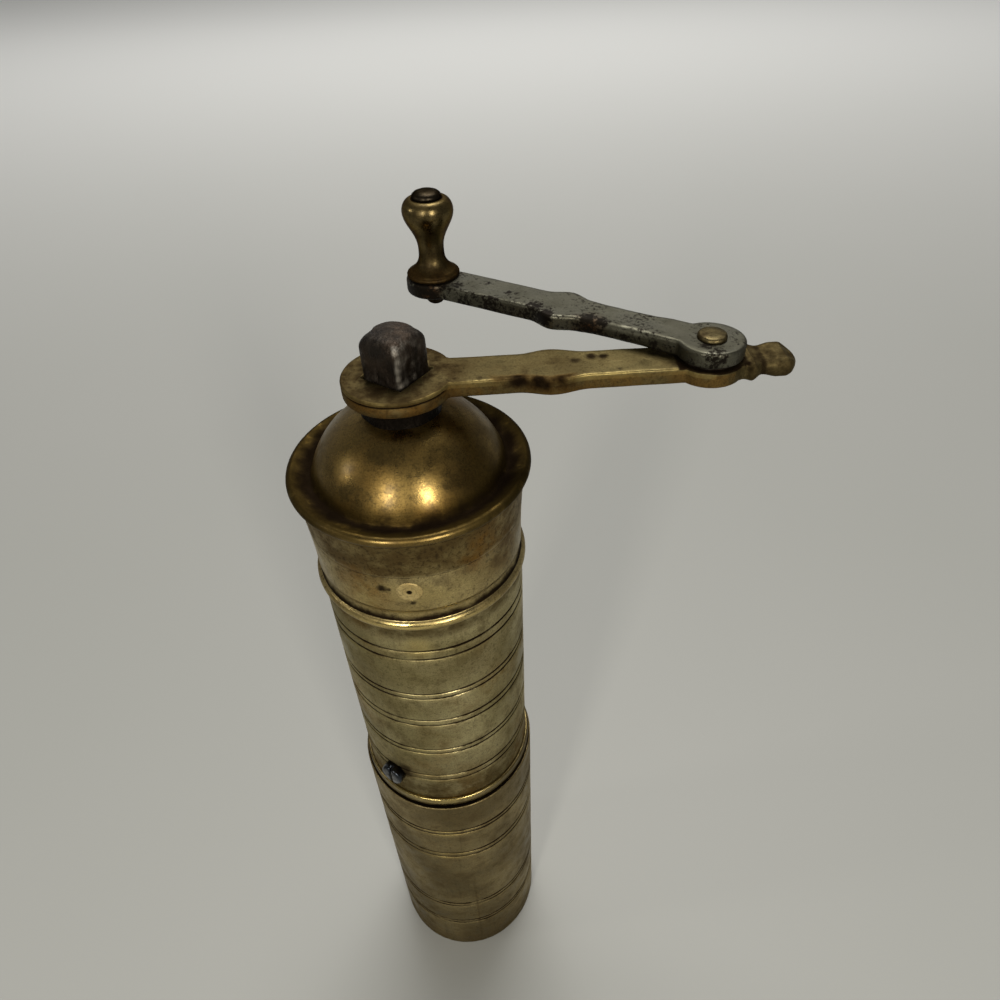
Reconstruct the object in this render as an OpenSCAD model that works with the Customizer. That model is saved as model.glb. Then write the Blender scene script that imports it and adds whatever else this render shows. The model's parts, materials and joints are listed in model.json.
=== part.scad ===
// Hand coffee mill of brass tube: a grounds cup, a barrel with the burrs, a domed lid and a folding crank.
// Millimetres. Origin at the centre of the cup's base, +Z up the mill's axis, +X along the lower crank arm.

/* [Cup] */
// Height of the cup, base to rim
cup_h = 114.6; // [100:0.2:150]
// Wall of the cup
cup_wall_t = 1.4; // [1:0.1:2.4]
// Thickness of the disc in the bottom of the cup
cup_base_t = 1.4; // [1:0.1:3]

/* [Barrel] */
// Outer radius of the barrel tube
barrel_r = 25; // [23:0.5:32]
// Wall of the barrel tube
barrel_wall_t = 1; // [0.8:0.1:1.4]
// Length of barrel that shows between the cup and the collar
barrel_show_h = 82.9; // [78:0.1:120]
// Length of barrel that slides down into the cup
spigot_len = 18.6; // [18:0.2:30]
// Height of the ring that rests on the cup's rim
foot_ring_h = 4.2; // [3:0.1:5]
// How far the foot ring stands out from the barrel
foot_ring_out = 0.9; // [0.8:0.1:1.4]
// Height of the shadow gap between the foot ring and the cup
seam_h = 0.7; // [0.3:0.1:1.2]
// Depth of the shadow gap
seam_d = 0.3; // [0.2:0.1:0.4]

/* [Engraved lines] */
// Width of an engraved line
line_w = 0.5; // [0.3:0.1:1]
// Depth of an engraved line
line_d = 0.2; // [0.1:0.05:0.4]
// Distance between the two lines of a pair
line_pair = 2.1; // [1.4:0.1:4]

/* [Collar] */
// Height of the collar, from the bead to the lid
collar_h = 28.3; // [24:0.1:40]
// Wall of the collar at its waist
collar_wall_t = 1.3; // [1:0.1:2]
// Height of the half-round bead
bead_h = 3.2; // [2.4:0.1:5]
// How far the bead stands out from the barrel
bead_out = 0.9; // [0.6:0.1:1.4]
// Height of the cove above the bead
cove_h = 3.6; // [2:0.1:4]
// Depth of the cove
cove_d = 0.5; // [0.2:0.1:0.6]
// How far the waist is set in from the barrel
waist_in = 0.1; // [0:0.1:0.6]
// Height of the waist above the collar's lower edge
waist_up = 7.5; // [5:0.5:12]
// How far the top of the collar flares out from the barrel
flare_out = 1.2; // [0.6:0.1:2]

/* [Upper bridge] */
// Depth of the bridge's rivets below the top of the collar
rivet_down = 15.1; // [12:0.1:17]
// Direction of the visible rivet around the axis, in degrees
bridge_turn = -92; // [-100:1:-80]
// Radius of a rivet's flush head
rivet_head_r = 3; // [2.4:0.1:3.4]
// Radius of a rivet's shank
rivet_r = 1.7; // [1.2:0.1:2]
// Width of the bridge bar
bridge_w = 10; // [8:0.5:14]
// Thickness of the bridge bar
bridge_t = 3; // [2:0.1:4]
// Thickness of the bridge's turned-down ears
ear_t = 2.4; // [1.6:0.1:4]
// Wall of the eye that guides the shaft
eye_wall_t = 4; // [2.5:0.1:5]

/* [Lid] */
// Thickness of the lid's sheet
lid_t = 1.2; // [0.8:0.1:1.6]
// Thickness of the lid's rolled edge
edge_d = 2.6; // [1.8:0.1:3.4]
// Distance of the dome's foot inside the rolled edge
valley_w = 5.5; // [4:0.1:6]
// Height of the dome above the brim
dome_h = 17.5; // [14:0.5:20]
// Radius of the iron ring round the shaft hole
neck_r = 8.4; // [8.2:0.1:12]
// Height of that ring above the dome's crown
neck_rise = 1.4; // [0.4:0.1:3]
// Wall of the skirt inside the collar
skirt_t = 1; // [0.6:0.1:1.6]
// Gap between the skirt and the upper bridge
skirt_gap = 1.4; // [0.8:0.1:4]

/* [Shaft] */
// Radius of the round rod
rod_r = 4.5; // [3.5:0.1:5.5]
// Radius of the journal under the crank
journal_r = 6.9; // [6:0.1:7]
// Length of the journal
journal_len = 12; // [6:0.5:16]
// Side of the square shank
shank_w = 10.4; // [9:0.1:11.4]
// Height of the square shank above the journal
shank_h = 13.5; // [8:0.5:20]
// Height of the shank's bevelled top
shank_bevel_h = 1.5; // [0.5:0.5:4]
// Radius of the flat on top of the shank
shank_top_r = 5.6; // [4:0.1:6.5]
// Turn of the square around the axis, in degrees
shank_turn = 54; // [0:1:90]

/* [Burrs] */
// Height of the outer burr
burr_h = 20; // [16:0.5:26]
// Height of the outer burr's lower face above the cup's rim
burr_up = 2.4; // [1:0.1:5]
// Wall of the outer burr at its lower face
burr_wall_t = 4.6; // [4:0.1:6]
// How far the outer burr's throat is narrower than its mouth
throat_in = 4.4; // [3:0.1:6]
// Gap between the burrs at their lower edge
burr_gap = 0.8; // [0.7:0.05:1.5]
// Radius of the inner burr's neck
rotor_neck_r = 8; // [7:0.1:9]
// Height of the inner burr's neck
rotor_neck_h = 6; // [4:0.5:10]
// Teeth grooves in the inner burr
rotor_grooves = 10; // [6:1:14]
// Teeth grooves in the outer burr
stator_grooves = 16; // [8:1:20]
// Radius of a tooth groove
groove_r = 1.1; // [0.6:0.1:1.4]
// Height of the burr screws above the outer burr's lower face
burr_screw_up = 12; // [8:0.5:14]
// Direction of the visible burr screw around the axis, in degrees
burr_screw_turn = -125; // [-140:1:-110]
// Radius of a burr screw's head
burr_screw_head_r = 3.5; // [2.5:0.1:4.5]
// Height of a burr screw's head
burr_screw_head_h = 2.5; // [1.5:0.1:3.5]
// Radius of a burr screw's shank
burr_screw_r = 1.9; // [1.4:0.1:2.2]
// Radius of the pin through the inner burr
rotor_pin_r = 1.25; // [1:0.05:1.6]

/* [Adjuster] */
// Radius of the adjusting screw
adjust_r = 3; // [2.5:0.1:4]
// Length of the adjusting screw above its wings
adjust_len = 12; // [10:0.5:13]
// Span of the wings
wing_w = 20; // [14:0.5:26]
// Height of the wings
wing_h = 6; // [4:0.5:6]
// Thickness of the wings
wing_t = 2.6; // [2:0.1:4]
// Thickness of the thrust pad
pad_t = 1.5; // [1:0.1:3]
// Thickness of the lower bridge bar
lower_bridge_t = 4; // [3:0.1:5]
// Width of the lower bridge bar
lower_bridge_w = 11; // [9:0.5:14]
// Depth of the lower bridge's threaded boss
boss_h = 8; // [6:0.1:9]
// Radius of the lower bridge's screws
bridge_screw_r = 1.25; // [1:0.05:1.5]

/* [Crank] */
// Radius of the lower arm's hub
hub_r = 11.7; // [11:0.1:16]
// Thickness of both arms
arm_t = 3.6; // [2.4:0.1:5]
// Distance from the mill's axis to the pivot
lower_len = 64.5; // [55:0.5:90]
// Width of the lower arm at the hub
lower_w_hub = 10.4; // [8:0.1:13]
// Width of the lower arm at the pivot
lower_w_end = 9.2; // [6:0.1:11]
// Distance of the lower arm's side knops from the mill's axis
knop_x = 32; // [24:0.5:40]
// Width across the side knops of either arm
knop_w = 12.8; // [11:0.1:14]
// Radius of the lower arm's pivot boss
boss_r = 7.3; // [6:0.1:9]
// Length of the finial beyond the pivot
finial_len = 18; // [14:0.5:26]
// Width of the finial's rib
finial_rib_w = 10.6; // [8:0.1:12]
// Width of the finial's neck
finial_neck_w = 7; // [5:0.1:8]
// Width of the finial's tip
finial_tip_w = 8.4; // [7:0.1:10]
// Thickness of the pivot washer
washer_t = 0.5; // [0.3:0.1:1.5]
// Radius of the pivot washer
washer_r = 6; // [4:0.1:6.5]
// Radius of the pivot rivet
pivot_r = 2; // [1.5:0.1:2.6]
// Radius of the pivot rivet's heads
pivot_head_r = 3.1; // [2.7:0.1:4]
// Height of the pivot rivet's heads
pivot_head_h = 1; // [0.8:0.1:2]
// Distance from the pivot to the knob
upper_len = 68.3; // [55:0.1:90]
// Width of the upper arm at the pivot
upper_w_pivot = 8.7; // [6:0.1:11]
// Width of the upper arm at the knob
upper_w_knob = 9.6; // [6:0.1:12]
// Radius of the upper arm's pivot end
upper_pivot_r = 7; // [5.5:0.1:9]
// Radius of the upper arm's knob end
upper_knob_r = 6.6; // [5.5:0.1:9]
// Distance of the upper arm's side knops from the pivot
upper_knop_x = 34; // [20:0.5:40]
// Angle by which the upper arm stands open from fully folded, in degrees
fold_open = 33.3; // [28:0.1:180]

/* [Knob] */
// Height of the knob
knob_h = 18; // [17:0.1:30]
// Radius of the knob's foot
knob_foot_r = 6.3; // [5:0.1:9]
// Height of the knob's foot
knob_foot_h = 1.6; // [1.2:0.1:4]
// Radius of the knob's neck
knob_neck_r = 3; // [2.7:0.05:5]
// Radius of the knob's head
knob_head_r = 5.9; // [5:0.1:9]
// Height of the head's widest part
knob_head_z = 15.2; // [12:0.1:16]
// Radius of the knob's upper end, under the pin's head
knob_top_r = 3.8; // [3:0.1:5]
// Radius of the knob pin
knob_pin_r = 1.7; // [1.2:0.1:2]
// Radius of the knob pin's head
knob_pin_head_r = 3.4; // [2.6:0.1:4]
// Height of the knob pin's head
knob_pin_head_h = 1.7; // [1:0.1:3]
// Radius of the knob pin's hammered tail
knob_tail_r = 2.6; // [2.2:0.1:3]
// Height of the knob pin's hammered tail
knob_tail_h = 3.4; // [0.6:0.1:4]

/* [Clearances] */
// Gap of soldered, pressed and screwed joints
joint_gap = 0.03; // [0.02:0.01:0.08]
// Radial clearance of a pin or shaft that turns
run_gap = 0.06; // [0.03:0.01:0.1]
// Radial clearance of the barrel in the cup
cup_gap = 0.2; // [0.1:0.05:0.4]
// Radial clearance of the lid's skirt in the collar
lid_gap = 0.3; // [0.2:0.05:0.6]
// Radial clearance of the lid's hole round the journal
hole_gap = 0.35; // [0.2:0.05:0.6]
// Clearance of the hub's square hole on each side of the shank
hub_gap = 0.15; // [0.1:0.05:0.3]
// Gap between the lid's ring and the hub
lid_hub_gap = 0.4; // [0.3:0.1:1]

/* [Hidden] */
$fn = 96;

// Overshoot of a cut past the face that it opens
cut = 1;

// Colours
brass = "#a8894a";
dark_brass = "#86703f";
iron = "#3b3733";
steel = "#8b8a86";

// Cup and barrel radii
cup_bore_r = barrel_r + cup_gap;
cup_r = cup_bore_r + cup_wall_t;
barrel_bore_r = barrel_r - barrel_wall_t;
foot_ring_r = barrel_r + foot_ring_out;

// Heights up the mill
barrel_z0 = cup_h - spigot_len;
collar_z0 = cup_h + barrel_show_h;
barrel_z1 = collar_z0 + bead_h / 2;
lid_z = collar_z0 + collar_h;
rivet_z = lid_z - rivet_down;
crown_z = lid_z + lid_t + dome_h;
neck_z = crown_z + neck_rise;
hub_z = neck_z + lid_hub_gap;
washer_z = hub_z + arm_t;
upper_z = washer_z + washer_t;
knob_z = upper_z + arm_t;

// Pairs of engraved lines, unevenly set by hand: from the cup's base, from its rim, and up the barrel
cup_lines_up = [22.9, 39.8];
cup_lines_down = [16.2, 32.3];
barrel_lines = [15.8, 30.2, 44.4, 56.5, 73.4];

// Collar
waist_r = barrel_r - waist_in;
collar_bore_r = waist_r - collar_wall_t;
collar_top_r = barrel_r + flare_out;
cove_arc_r = (cove_h ^ 2 / 4 + cove_d ^ 2) / (2 * cove_d);
flare_rise = collar_h - waist_up;
flare_step = flare_out + waist_in;
flare_arc_r = (flare_rise ^ 2 + flare_step ^ 2) / (2 * flare_step);

// Upper bridge: the bar lies just above the rivets' shanks, on the ears that they hold
ear_drop = rivet_head_r + 0.6;
bar_rise = rivet_r + 0.7;
bridge_top_z = rivet_z + bar_rise + bridge_t;
eye_r = rod_r + eye_wall_t;
eye_over = 2.4;

// Lid
edge_r = edge_d / 2;
dome_r = collar_top_r + edge_r - valley_w;
dome_arc_r = (dome_r ^ 2 + dome_h ^ 2) / (2 * dome_h);
dome_centre_z = crown_z - dome_arc_r;
lid_hole_r = journal_r + hole_gap;
skirt_r = collar_bore_r - lid_gap;
skirt_z0 = bridge_top_z + skirt_gap;

// Burrs: the inner one hangs just above the lower bridge and rises to grind finer
stator_z0 = cup_h + burr_up;
stator_z1 = stator_z0 + burr_h;
stator_r = barrel_bore_r - joint_gap;
stator_mouth_r = stator_r - burr_wall_t;
throat_r = stator_mouth_r - throat_in;
funnel_h = 2;
rotor_z0 = stator_z0 + 1;
rotor_base_r = stator_mouth_r - burr_gap;
rotor_h = burr_h - funnel_h;
rotor_tilt = atan((rotor_base_r - rotor_neck_r) / rotor_h);
rotor_side = norm([rotor_base_r - rotor_neck_r, rotor_h]);
rotor_groove_len = burr_wall_t + 0.8 * rotor_side;
stator_tilt = atan(throat_in / (burr_h - funnel_h));
tooth_skew = 18;
rotor_pin_z = rotor_z0 + rotor_h + rotor_neck_h / 2;
rotor_pin_len = 2 * rotor_neck_r - 1;
burr_screw_z = stator_z0 + burr_screw_up;
burr_screw_len = 3.4;

// Adjuster: the screw's tip, the pad and the shaft's end are stacked face to face
pad_r = adjust_r;
pad_z0 = stator_z0 + 0.3;
shaft_z0 = pad_z0 + pad_t;
recess_r = max(rod_r, pad_r) + 1;
recess_h = shaft_z0 - rotor_z0 + 1;
boss_wall_t = 3.5;
lower_bridge_r = barrel_bore_r - 0.4;
bridge_screw_x = stator_r - burr_wall_t / 2;
bridge_screw_head_r = bridge_screw_r + 1;
bridge_screw_head_h = 1.4;
bridge_screw_deep = 5;

// Knob place and profile, from foot to top
upper_turn = 180 - fold_open;
knob_neck_z = (knob_foot_h + knob_head_z) / 2 - 2;

function ease(t) = (1 - cos(180 * t)) / 2;
function swell(r0, r1, z0, z1, n) =
    [for (i = [0:n]) [r0 + (r1 - r0) * ease(i / n), z0 + (z1 - z0) * i / n]];

// Shapes that repeat

module tube(r, bore_r, z0, z1) {
    difference() {
        translate([0, 0, z0])
            cylinder(r = r, h = z1 - z0);
        translate([0, 0, z0 - cut])
            cylinder(r = bore_r, h = z1 - z0 + 2 * cut);
    }
}

// Cuts one pair of engraved lines into a tube of radius r
module line_pair_cut(r, z) {
    for (side = [-1, 1])
        translate([0, 0, z + side * line_pair / 2])
            rotate_extrude()
                translate([r - line_d, -line_w / 2])
                    square([line_d + cut, line_w]);
}

// Domed head on the plane z = 0
module dome_head(r, h) {
    arc_r = (r ^ 2 + h ^ 2) / (2 * h);
    intersection() {
        translate([0, 0, h - arc_r])
            sphere(r = arc_r);
        cylinder(r = arc_r, h = h);
    }
}

// Lays its children out along the upper arm, with the pivot at the origin
module on_upper_arm() {
    translate([lower_len, 0, 0])
        rotate([0, 0, upper_turn])
            children();
}

module at_knob() {
    on_upper_arm()
        translate([upper_len, 0, 0])
            children();
}

// Straight bar that tapers in width, along +X from x0 to x1
module taper_bar(x0, x1, w0, w1) {
    linear_extrude(arm_t)
        polygon([[x0, -w0 / 2], [x1, -w1 / 2], [x1, w1 / 2], [x0, w0 / 2]]);
}

// Points +Z children out along the burr screws' axes
module at_burr_screws() {
    for (turn = [0, 180])
        rotate([0, 0, burr_screw_turn + turn])
            translate([0, 0, burr_screw_z])
                rotate([0, 90, 0])
                    children();
}

module at_bridge_rivets() {
    for (turn = [0, 180])
        rotate([0, 0, bridge_turn + turn])
            translate([0, 0, rivet_z])
                rotate([0, 90, 0])
                    children();
}

module at_bridge_screws() {
    for (side = [-1, 1])
        rotate([0, 0, bridge_turn])
            translate([side * bridge_screw_x, 0, stator_z0])
                children();
}

// Cup

module cup_wall() {
    color(dark_brass)
        difference() {
            tube(cup_r, cup_bore_r, 0, cup_h);
            for (z = cup_lines_up)
                line_pair_cut(cup_r, z);
            for (z = cup_lines_down)
                line_pair_cut(cup_r, cup_h - z);
        }
}

module cup_base() {
    color(dark_brass)
        cylinder(r = cup_bore_r - joint_gap, h = cup_base_t);
}

// Barrel

module barrel_tube() {
    color(brass)
        difference() {
            tube(barrel_r, barrel_bore_r, barrel_z0, barrel_z1);
            for (z = barrel_lines)
                line_pair_cut(barrel_r, cup_h + z);
            at_burr_screws()
                cylinder(r = burr_screw_r + joint_gap, h = barrel_r + cut);
        }
}

module foot_ring() {
    in_r = barrel_r + joint_gap;
    top_z = cup_h + foot_ring_h;
    color(brass)
        rotate_extrude()
            polygon([
                [in_r, cup_h], [foot_ring_r - seam_d, cup_h], [foot_ring_r - seam_d, cup_h + seam_h],
                [foot_ring_r, cup_h + seam_h], [foot_ring_r, top_z - foot_ring_h / 3],
                [foot_ring_r - foot_ring_out / 3, top_z - foot_ring_h / 12], [in_r, top_z]
            ]);
}

module hopper_collar() {
    color(brass)
        difference() {
            rotate_extrude()
                difference() {
                    union() {
                        translate([collar_bore_r, barrel_z1])
                            square([collar_top_r - collar_bore_r, lid_z - barrel_z1]);
                        translate([barrel_r + bead_out - bead_h / 2, barrel_z1])
                            circle(d = bead_h);
                    }
                    translate([0, collar_z0 - cut])
                        square([barrel_r + joint_gap, bead_h / 2 + cut]);
                    translate([waist_r - cove_d + cove_arc_r, collar_z0 + bead_h + cove_h / 2])
                        circle(r = cove_arc_r);
                    difference() {
                        translate([waist_r + flare_arc_r, collar_z0 + waist_up])
                            circle(r = flare_arc_r, $fn = 256);
                        translate([0, collar_z0 - cut - flare_arc_r])
                            square([barrel_r + bead_out, bead_h + cut + flare_arc_r]);
                    }
                }
            at_bridge_rivets()
                cylinder(r = rivet_head_r + joint_gap, h = collar_top_r + cut);
        }
}

module top_bridge() {
    out_r = collar_bore_r - joint_gap;
    bar_z = rivet_z + bar_rise;
    color(iron)
        difference() {
            intersection() {
                rotate([0, 0, bridge_turn])
                    union() {
                        translate([-out_r, -bridge_w / 2, bar_z])
                            cube([2 * out_r, bridge_w, bridge_t]);
                        for (side = [0, 180])
                            rotate([0, 0, side])
                                translate([out_r - ear_t, -bridge_w / 2, rivet_z - ear_drop])
                                    cube([ear_t, bridge_w, bar_rise + ear_drop]);
                        translate([0, 0, bar_z - eye_over])
                            cylinder(r = eye_r, h = bridge_t + 2 * eye_over);
                    }
                translate([0, 0, rivet_z - ear_drop - cut])
                    cylinder(r = out_r, h = collar_h);
            }
            translate([0, 0, rivet_z])
                cylinder(r = rod_r + run_gap, h = collar_h);
            at_bridge_rivets()
                cylinder(r = rivet_r + joint_gap, h = collar_top_r);
        }
}

module bridge_rivets() {
    ear_in_r = collar_bore_r - joint_gap - ear_t;
    clinch_h = 0.8;
    flush_r = waist_r + 0.1;
    color(brass)
        at_bridge_rivets() {
            translate([0, 0, ear_in_r - clinch_h])
                cylinder(r = rivet_r, h = flush_r - ear_in_r + clinch_h);
            translate([0, 0, collar_bore_r])
                cylinder(r = rivet_head_r, h = flush_r - collar_bore_r);
        }
}

module stator_burr() {
    mid_r = (stator_mouth_r + throat_r) / 2;
    color(iron)
        difference() {
            translate([0, 0, stator_z0])
                cylinder(r = stator_r, h = burr_h);
            translate([0, 0, stator_z0 - cut])
                cylinder(
                    r1 = stator_mouth_r + cut * tan(stator_tilt),
                    r2 = throat_r - cut * tan(stator_tilt),
                    h = rotor_h + 2 * cut
                );
            translate([0, 0, stator_z1 - funnel_h])
                cylinder(r1 = throat_r, r2 = stator_r - cut, h = funnel_h + cut / 10);
            for (i = [0:stator_grooves - 1])
                rotate([0, 0, i * 360 / stator_grooves])
                    translate([mid_r, 0, stator_z0 + rotor_h / 2])
                        rotate([0, -stator_tilt, 0])
                            rotate([-tooth_skew, 0, 0])
                                cylinder(r = groove_r, h = 2 * burr_h, center = true);
            at_burr_screws()
                cylinder(r = burr_screw_r + joint_gap, h = barrel_r);
            at_bridge_screws()
                translate([0, 0, -cut])
                    cylinder(r = bridge_screw_r + joint_gap, h = bridge_screw_deep + 2 * cut);
        }
}

module burr_screws() {
    seat_r = barrel_r + joint_gap;
    slot_w = 0.9;
    color(steel)
        at_burr_screws() {
            translate([0, 0, seat_r - burr_screw_len])
                cylinder(r = burr_screw_r, h = burr_screw_len + cut);
            difference() {
                translate([0, 0, seat_r])
                    cylinder(r = burr_screw_head_r, h = burr_screw_head_h);
                translate([-2 * burr_screw_head_r, -slot_w / 2, seat_r + burr_screw_head_h / 2])
                    cube([4 * burr_screw_head_r, slot_w, burr_screw_head_h]);
            }
        }
}

module bottom_bridge() {
    color(iron)
        difference() {
            union() {
                intersection() {
                    rotate([0, 0, bridge_turn])
                        translate([-lower_bridge_r, -lower_bridge_w / 2, stator_z0 - lower_bridge_t])
                            cube([2 * lower_bridge_r, lower_bridge_w, lower_bridge_t]);
                    translate([0, 0, stator_z0 - lower_bridge_t])
                        cylinder(r = lower_bridge_r, h = lower_bridge_t);
                }
                translate([0, 0, stator_z0 - boss_h])
                    cylinder(r = adjust_r + boss_wall_t, h = boss_h);
            }
            translate([0, 0, stator_z0 - boss_h - cut])
                cylinder(r = adjust_r + run_gap, h = boss_h + 2 * cut);
            at_bridge_screws()
                translate([0, 0, -lower_bridge_t - cut])
                    cylinder(r = bridge_screw_r + joint_gap, h = lower_bridge_t + 2 * cut);
        }
}

module bridge_screws() {
    color(steel)
        at_bridge_screws()
            translate([0, 0, -lower_bridge_t]) {
                cylinder(r = bridge_screw_r, h = lower_bridge_t + bridge_screw_deep);
                mirror([0, 0, 1])
                    dome_head(bridge_screw_head_r, bridge_screw_head_h);
            }
}

// Grind adjuster

module adjusting_screw() {
    wing_z = pad_z0 - adjust_len - wing_h;
    lobe_r = wing_h / 2;
    color(steel) {
        translate([0, 0, wing_z])
            cylinder(r = adjust_r, h = pad_z0 - wing_z);
        translate([-wing_w / 2 + lobe_r, -wing_t / 2, wing_z])
            cube([wing_w - 2 * lobe_r, wing_t, wing_h]);
        for (side = [-1, 1])
            translate([side * (wing_w / 2 - lobe_r), wing_t / 2, wing_z + lobe_r])
                rotate([90, 0, 0])
                    cylinder(r = lobe_r, h = wing_t);
    }
}

module thrust_pad() {
    color(steel)
        translate([0, 0, pad_z0])
            cylinder(r = pad_r, h = pad_t);
}

// Shaft

module shaft() {
    journal_z0 = hub_z - journal_len;
    bevel_z0 = hub_z + shank_h - shank_bevel_h;
    color(iron)
        difference() {
            union() {
                translate([0, 0, shaft_z0])
                    cylinder(r = rod_r, h = journal_z0 - shaft_z0 + cut);
                translate([0, 0, journal_z0])
                    cylinder(r = journal_r, h = bevel_z0 - journal_z0);
                translate([0, 0, bevel_z0])
                    cylinder(r1 = journal_r, r2 = shank_top_r, h = shank_bevel_h);
            }
            for (side = [0:90:270])
                rotate([0, 0, shank_turn + side])
                    translate([shank_w / 2, -journal_r - cut, hub_z])
                        cube([journal_r, 2 * (journal_r + cut), shank_h + cut]);
            translate([0, 0, rotor_pin_z])
                rotate([90, 0, 0])
                    cylinder(r = rotor_pin_r + joint_gap, h = 4 * rod_r, center = true);
        }
}

module rotor_burr() {
    color(iron)
        difference() {
            union() {
                difference() {
                    translate([0, 0, rotor_z0])
                        cylinder(r1 = rotor_base_r, r2 = rotor_neck_r, h = rotor_h);
                    for (i = [0:rotor_grooves - 1])
                        rotate([0, 0, i * 360 / rotor_grooves])
                            translate([rotor_base_r, 0, rotor_z0])
                                rotate([0, -rotor_tilt, 0])
                                    rotate([tooth_skew, 0, 0])
                                        translate([0, 0, -burr_wall_t])
                                            cylinder(r = groove_r, h = rotor_groove_len);
                }
                translate([0, 0, rotor_z0 + rotor_h])
                    cylinder(r = rotor_neck_r, h = rotor_neck_h);
            }
            translate([0, 0, rotor_z0 - cut])
                cylinder(r = rod_r + joint_gap, h = rotor_h + rotor_neck_h + 2 * cut);
            translate([0, 0, rotor_z0 - cut])
                cylinder(r = recess_r, h = recess_h + cut);
            translate([0, 0, rotor_pin_z])
                rotate([90, 0, 0])
                    cylinder(r = rotor_pin_r + joint_gap, h = 4 * rotor_neck_r, center = true);
        }
}

module rotor_pin() {
    color(steel)
        translate([0, 0, rotor_pin_z])
            rotate([90, 0, 0])
                cylinder(r = rotor_pin_r, h = rotor_pin_len, center = true);
}

// Lid

module dome_lid() {
    color(brass)
        rotate_extrude()
            difference() {
                union() {
                    intersection() {
                        translate([0, dome_centre_z])
                            circle(r = dome_arc_r);
                        translate([0, lid_z])
                            square([collar_top_r, 2 * dome_arc_r]);
                    }
                    translate([0, lid_z])
                        square([collar_top_r, lid_t]);
                    translate([collar_top_r, lid_z + edge_r])
                        circle(r = edge_r);
                }
                translate([0, dome_centre_z])
                    circle(r = dome_arc_r - lid_t);
                translate([0, lid_z - cut])
                    square([lid_hole_r, 2 * dome_arc_r]);
            }
}

module lid_skirt() {
    color(brass)
        tube(skirt_r, skirt_r - skirt_t, skirt_z0, lid_z);
}

module lid_neck() {
    color(iron)
        rotate_extrude()
            difference() {
                translate([lid_hole_r, dome_centre_z])
                    square([neck_r - lid_hole_r, neck_z - dome_centre_z]);
                translate([0, dome_centre_z])
                    circle(r = dome_arc_r + joint_gap);
            }
}

// Crank

module lower_arm() {
    hole_w = shank_w + 2 * hub_gap;
    rib_x = 8.2;
    neck_x = 11;
    color(brass)
        translate([0, 0, hub_z])
            difference() {
                union() {
                    cylinder(r = hub_r, h = arm_t);
                    taper_bar(0, lower_len, lower_w_hub, lower_w_end);
                    translate([knop_x, 0, 0])
                        cylinder(d = knop_w, h = arm_t);
                    translate([lower_len, 0, 0]) {
                        cylinder(r = boss_r, h = arm_t);
                        taper_bar(rib_x - 1.2, rib_x + 1.2, finial_rib_w, finial_rib_w);
                        taper_bar(rib_x, neck_x, finial_rib_w, finial_neck_w);
                        intersection() {
                            taper_bar(neck_x, finial_len, finial_neck_w, finial_tip_w);
                            translate([finial_len - finial_tip_w, 0, 0])
                                cylinder(r = finial_tip_w, h = arm_t);
                        }
                    }
                }
                rotate([0, 0, shank_turn])
                    translate([-hole_w / 2, -hole_w / 2, -cut])
                        cube([hole_w, hole_w, arm_t + 2 * cut]);
                translate([lower_len, 0, -cut])
                    cylinder(r = pivot_r + joint_gap, h = arm_t + 2 * cut);
            }
}

module pivot_rivet() {
    color(brass)
        translate([lower_len, 0, 0]) {
            translate([0, 0, hub_z])
                cylinder(r = pivot_r, h = knob_z - hub_z);
            translate([0, 0, knob_z])
                dome_head(pivot_head_r, pivot_head_h);
            translate([0, 0, hub_z])
                mirror([0, 0, 1])
                    dome_head(pivot_head_r, pivot_head_h);
        }
}

module pivot_washer() {
    color(steel)
        translate([lower_len, 0, 0])
            tube(washer_r, pivot_r + joint_gap, washer_z, upper_z);
}

module upper_arm() {
    color(steel)
        on_upper_arm()
            translate([0, 0, upper_z])
                difference() {
                    union() {
                        cylinder(r = upper_pivot_r, h = arm_t);
                        taper_bar(0, upper_len, upper_w_pivot, upper_w_knob);
                        translate([upper_knop_x, 0, 0])
                            cylinder(d = knop_w, h = arm_t);
                        translate([upper_len, 0, 0])
                            cylinder(r = upper_knob_r, h = arm_t);
                    }
                    translate([0, 0, -cut])
                        cylinder(r = pivot_r + run_gap, h = arm_t + 2 * cut);
                    translate([upper_len, 0, -cut])
                        cylinder(r = knob_pin_r + joint_gap, h = arm_t + 2 * cut);
                }
}

module knob() {
    foot_edge = knob_foot_h / 4;
    profile = concat(
        [[0, 0], [knob_foot_r - foot_edge, 0], [knob_foot_r, foot_edge]],
        [[knob_foot_r, knob_foot_h - foot_edge]],
        swell(knob_foot_r - foot_edge, knob_neck_r, knob_foot_h, knob_neck_z, 8),
        swell(knob_neck_r, knob_head_r, knob_neck_z + 0.4, knob_head_z, 10),
        [for (a = [15:15:75])
            [
                knob_top_r + (knob_head_r - knob_top_r) * cos(a),
                knob_head_z + (knob_h - knob_head_z) * sin(a)
            ]],
        [[knob_top_r, knob_h], [0, knob_h]]
    );
    color(dark_brass)
        at_knob()
            translate([0, 0, knob_z])
                difference() {
                    rotate_extrude()
                        polygon(profile);
                    translate([0, 0, -cut])
                        cylinder(r = knob_pin_r + run_gap, h = knob_h + 2 * cut);
                }
}

module knob_pin() {
    color(iron)
        at_knob() {
            translate([0, 0, upper_z])
                cylinder(r = knob_pin_r, h = knob_z + knob_h - upper_z);
            translate([0, 0, knob_z + knob_h])
                dome_head(knob_pin_head_r, knob_pin_head_h);
            translate([0, 0, upper_z])
                mirror([0, 0, 1])
                    dome_head(knob_tail_r, knob_tail_h);
        }
}

cup_wall();
cup_base();
barrel_tube();
foot_ring();
hopper_collar();
top_bridge();
bridge_rivets();
stator_burr();
burr_screws();
bottom_bridge();
bridge_screws();
adjusting_screw();
thrust_pad();
shaft();
rotor_burr();
rotor_pin();
dome_lid();
lid_skirt();
lid_neck();
lower_arm();
pivot_rivet();
pivot_washer();
upper_arm();
knob();
knob_pin();
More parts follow.
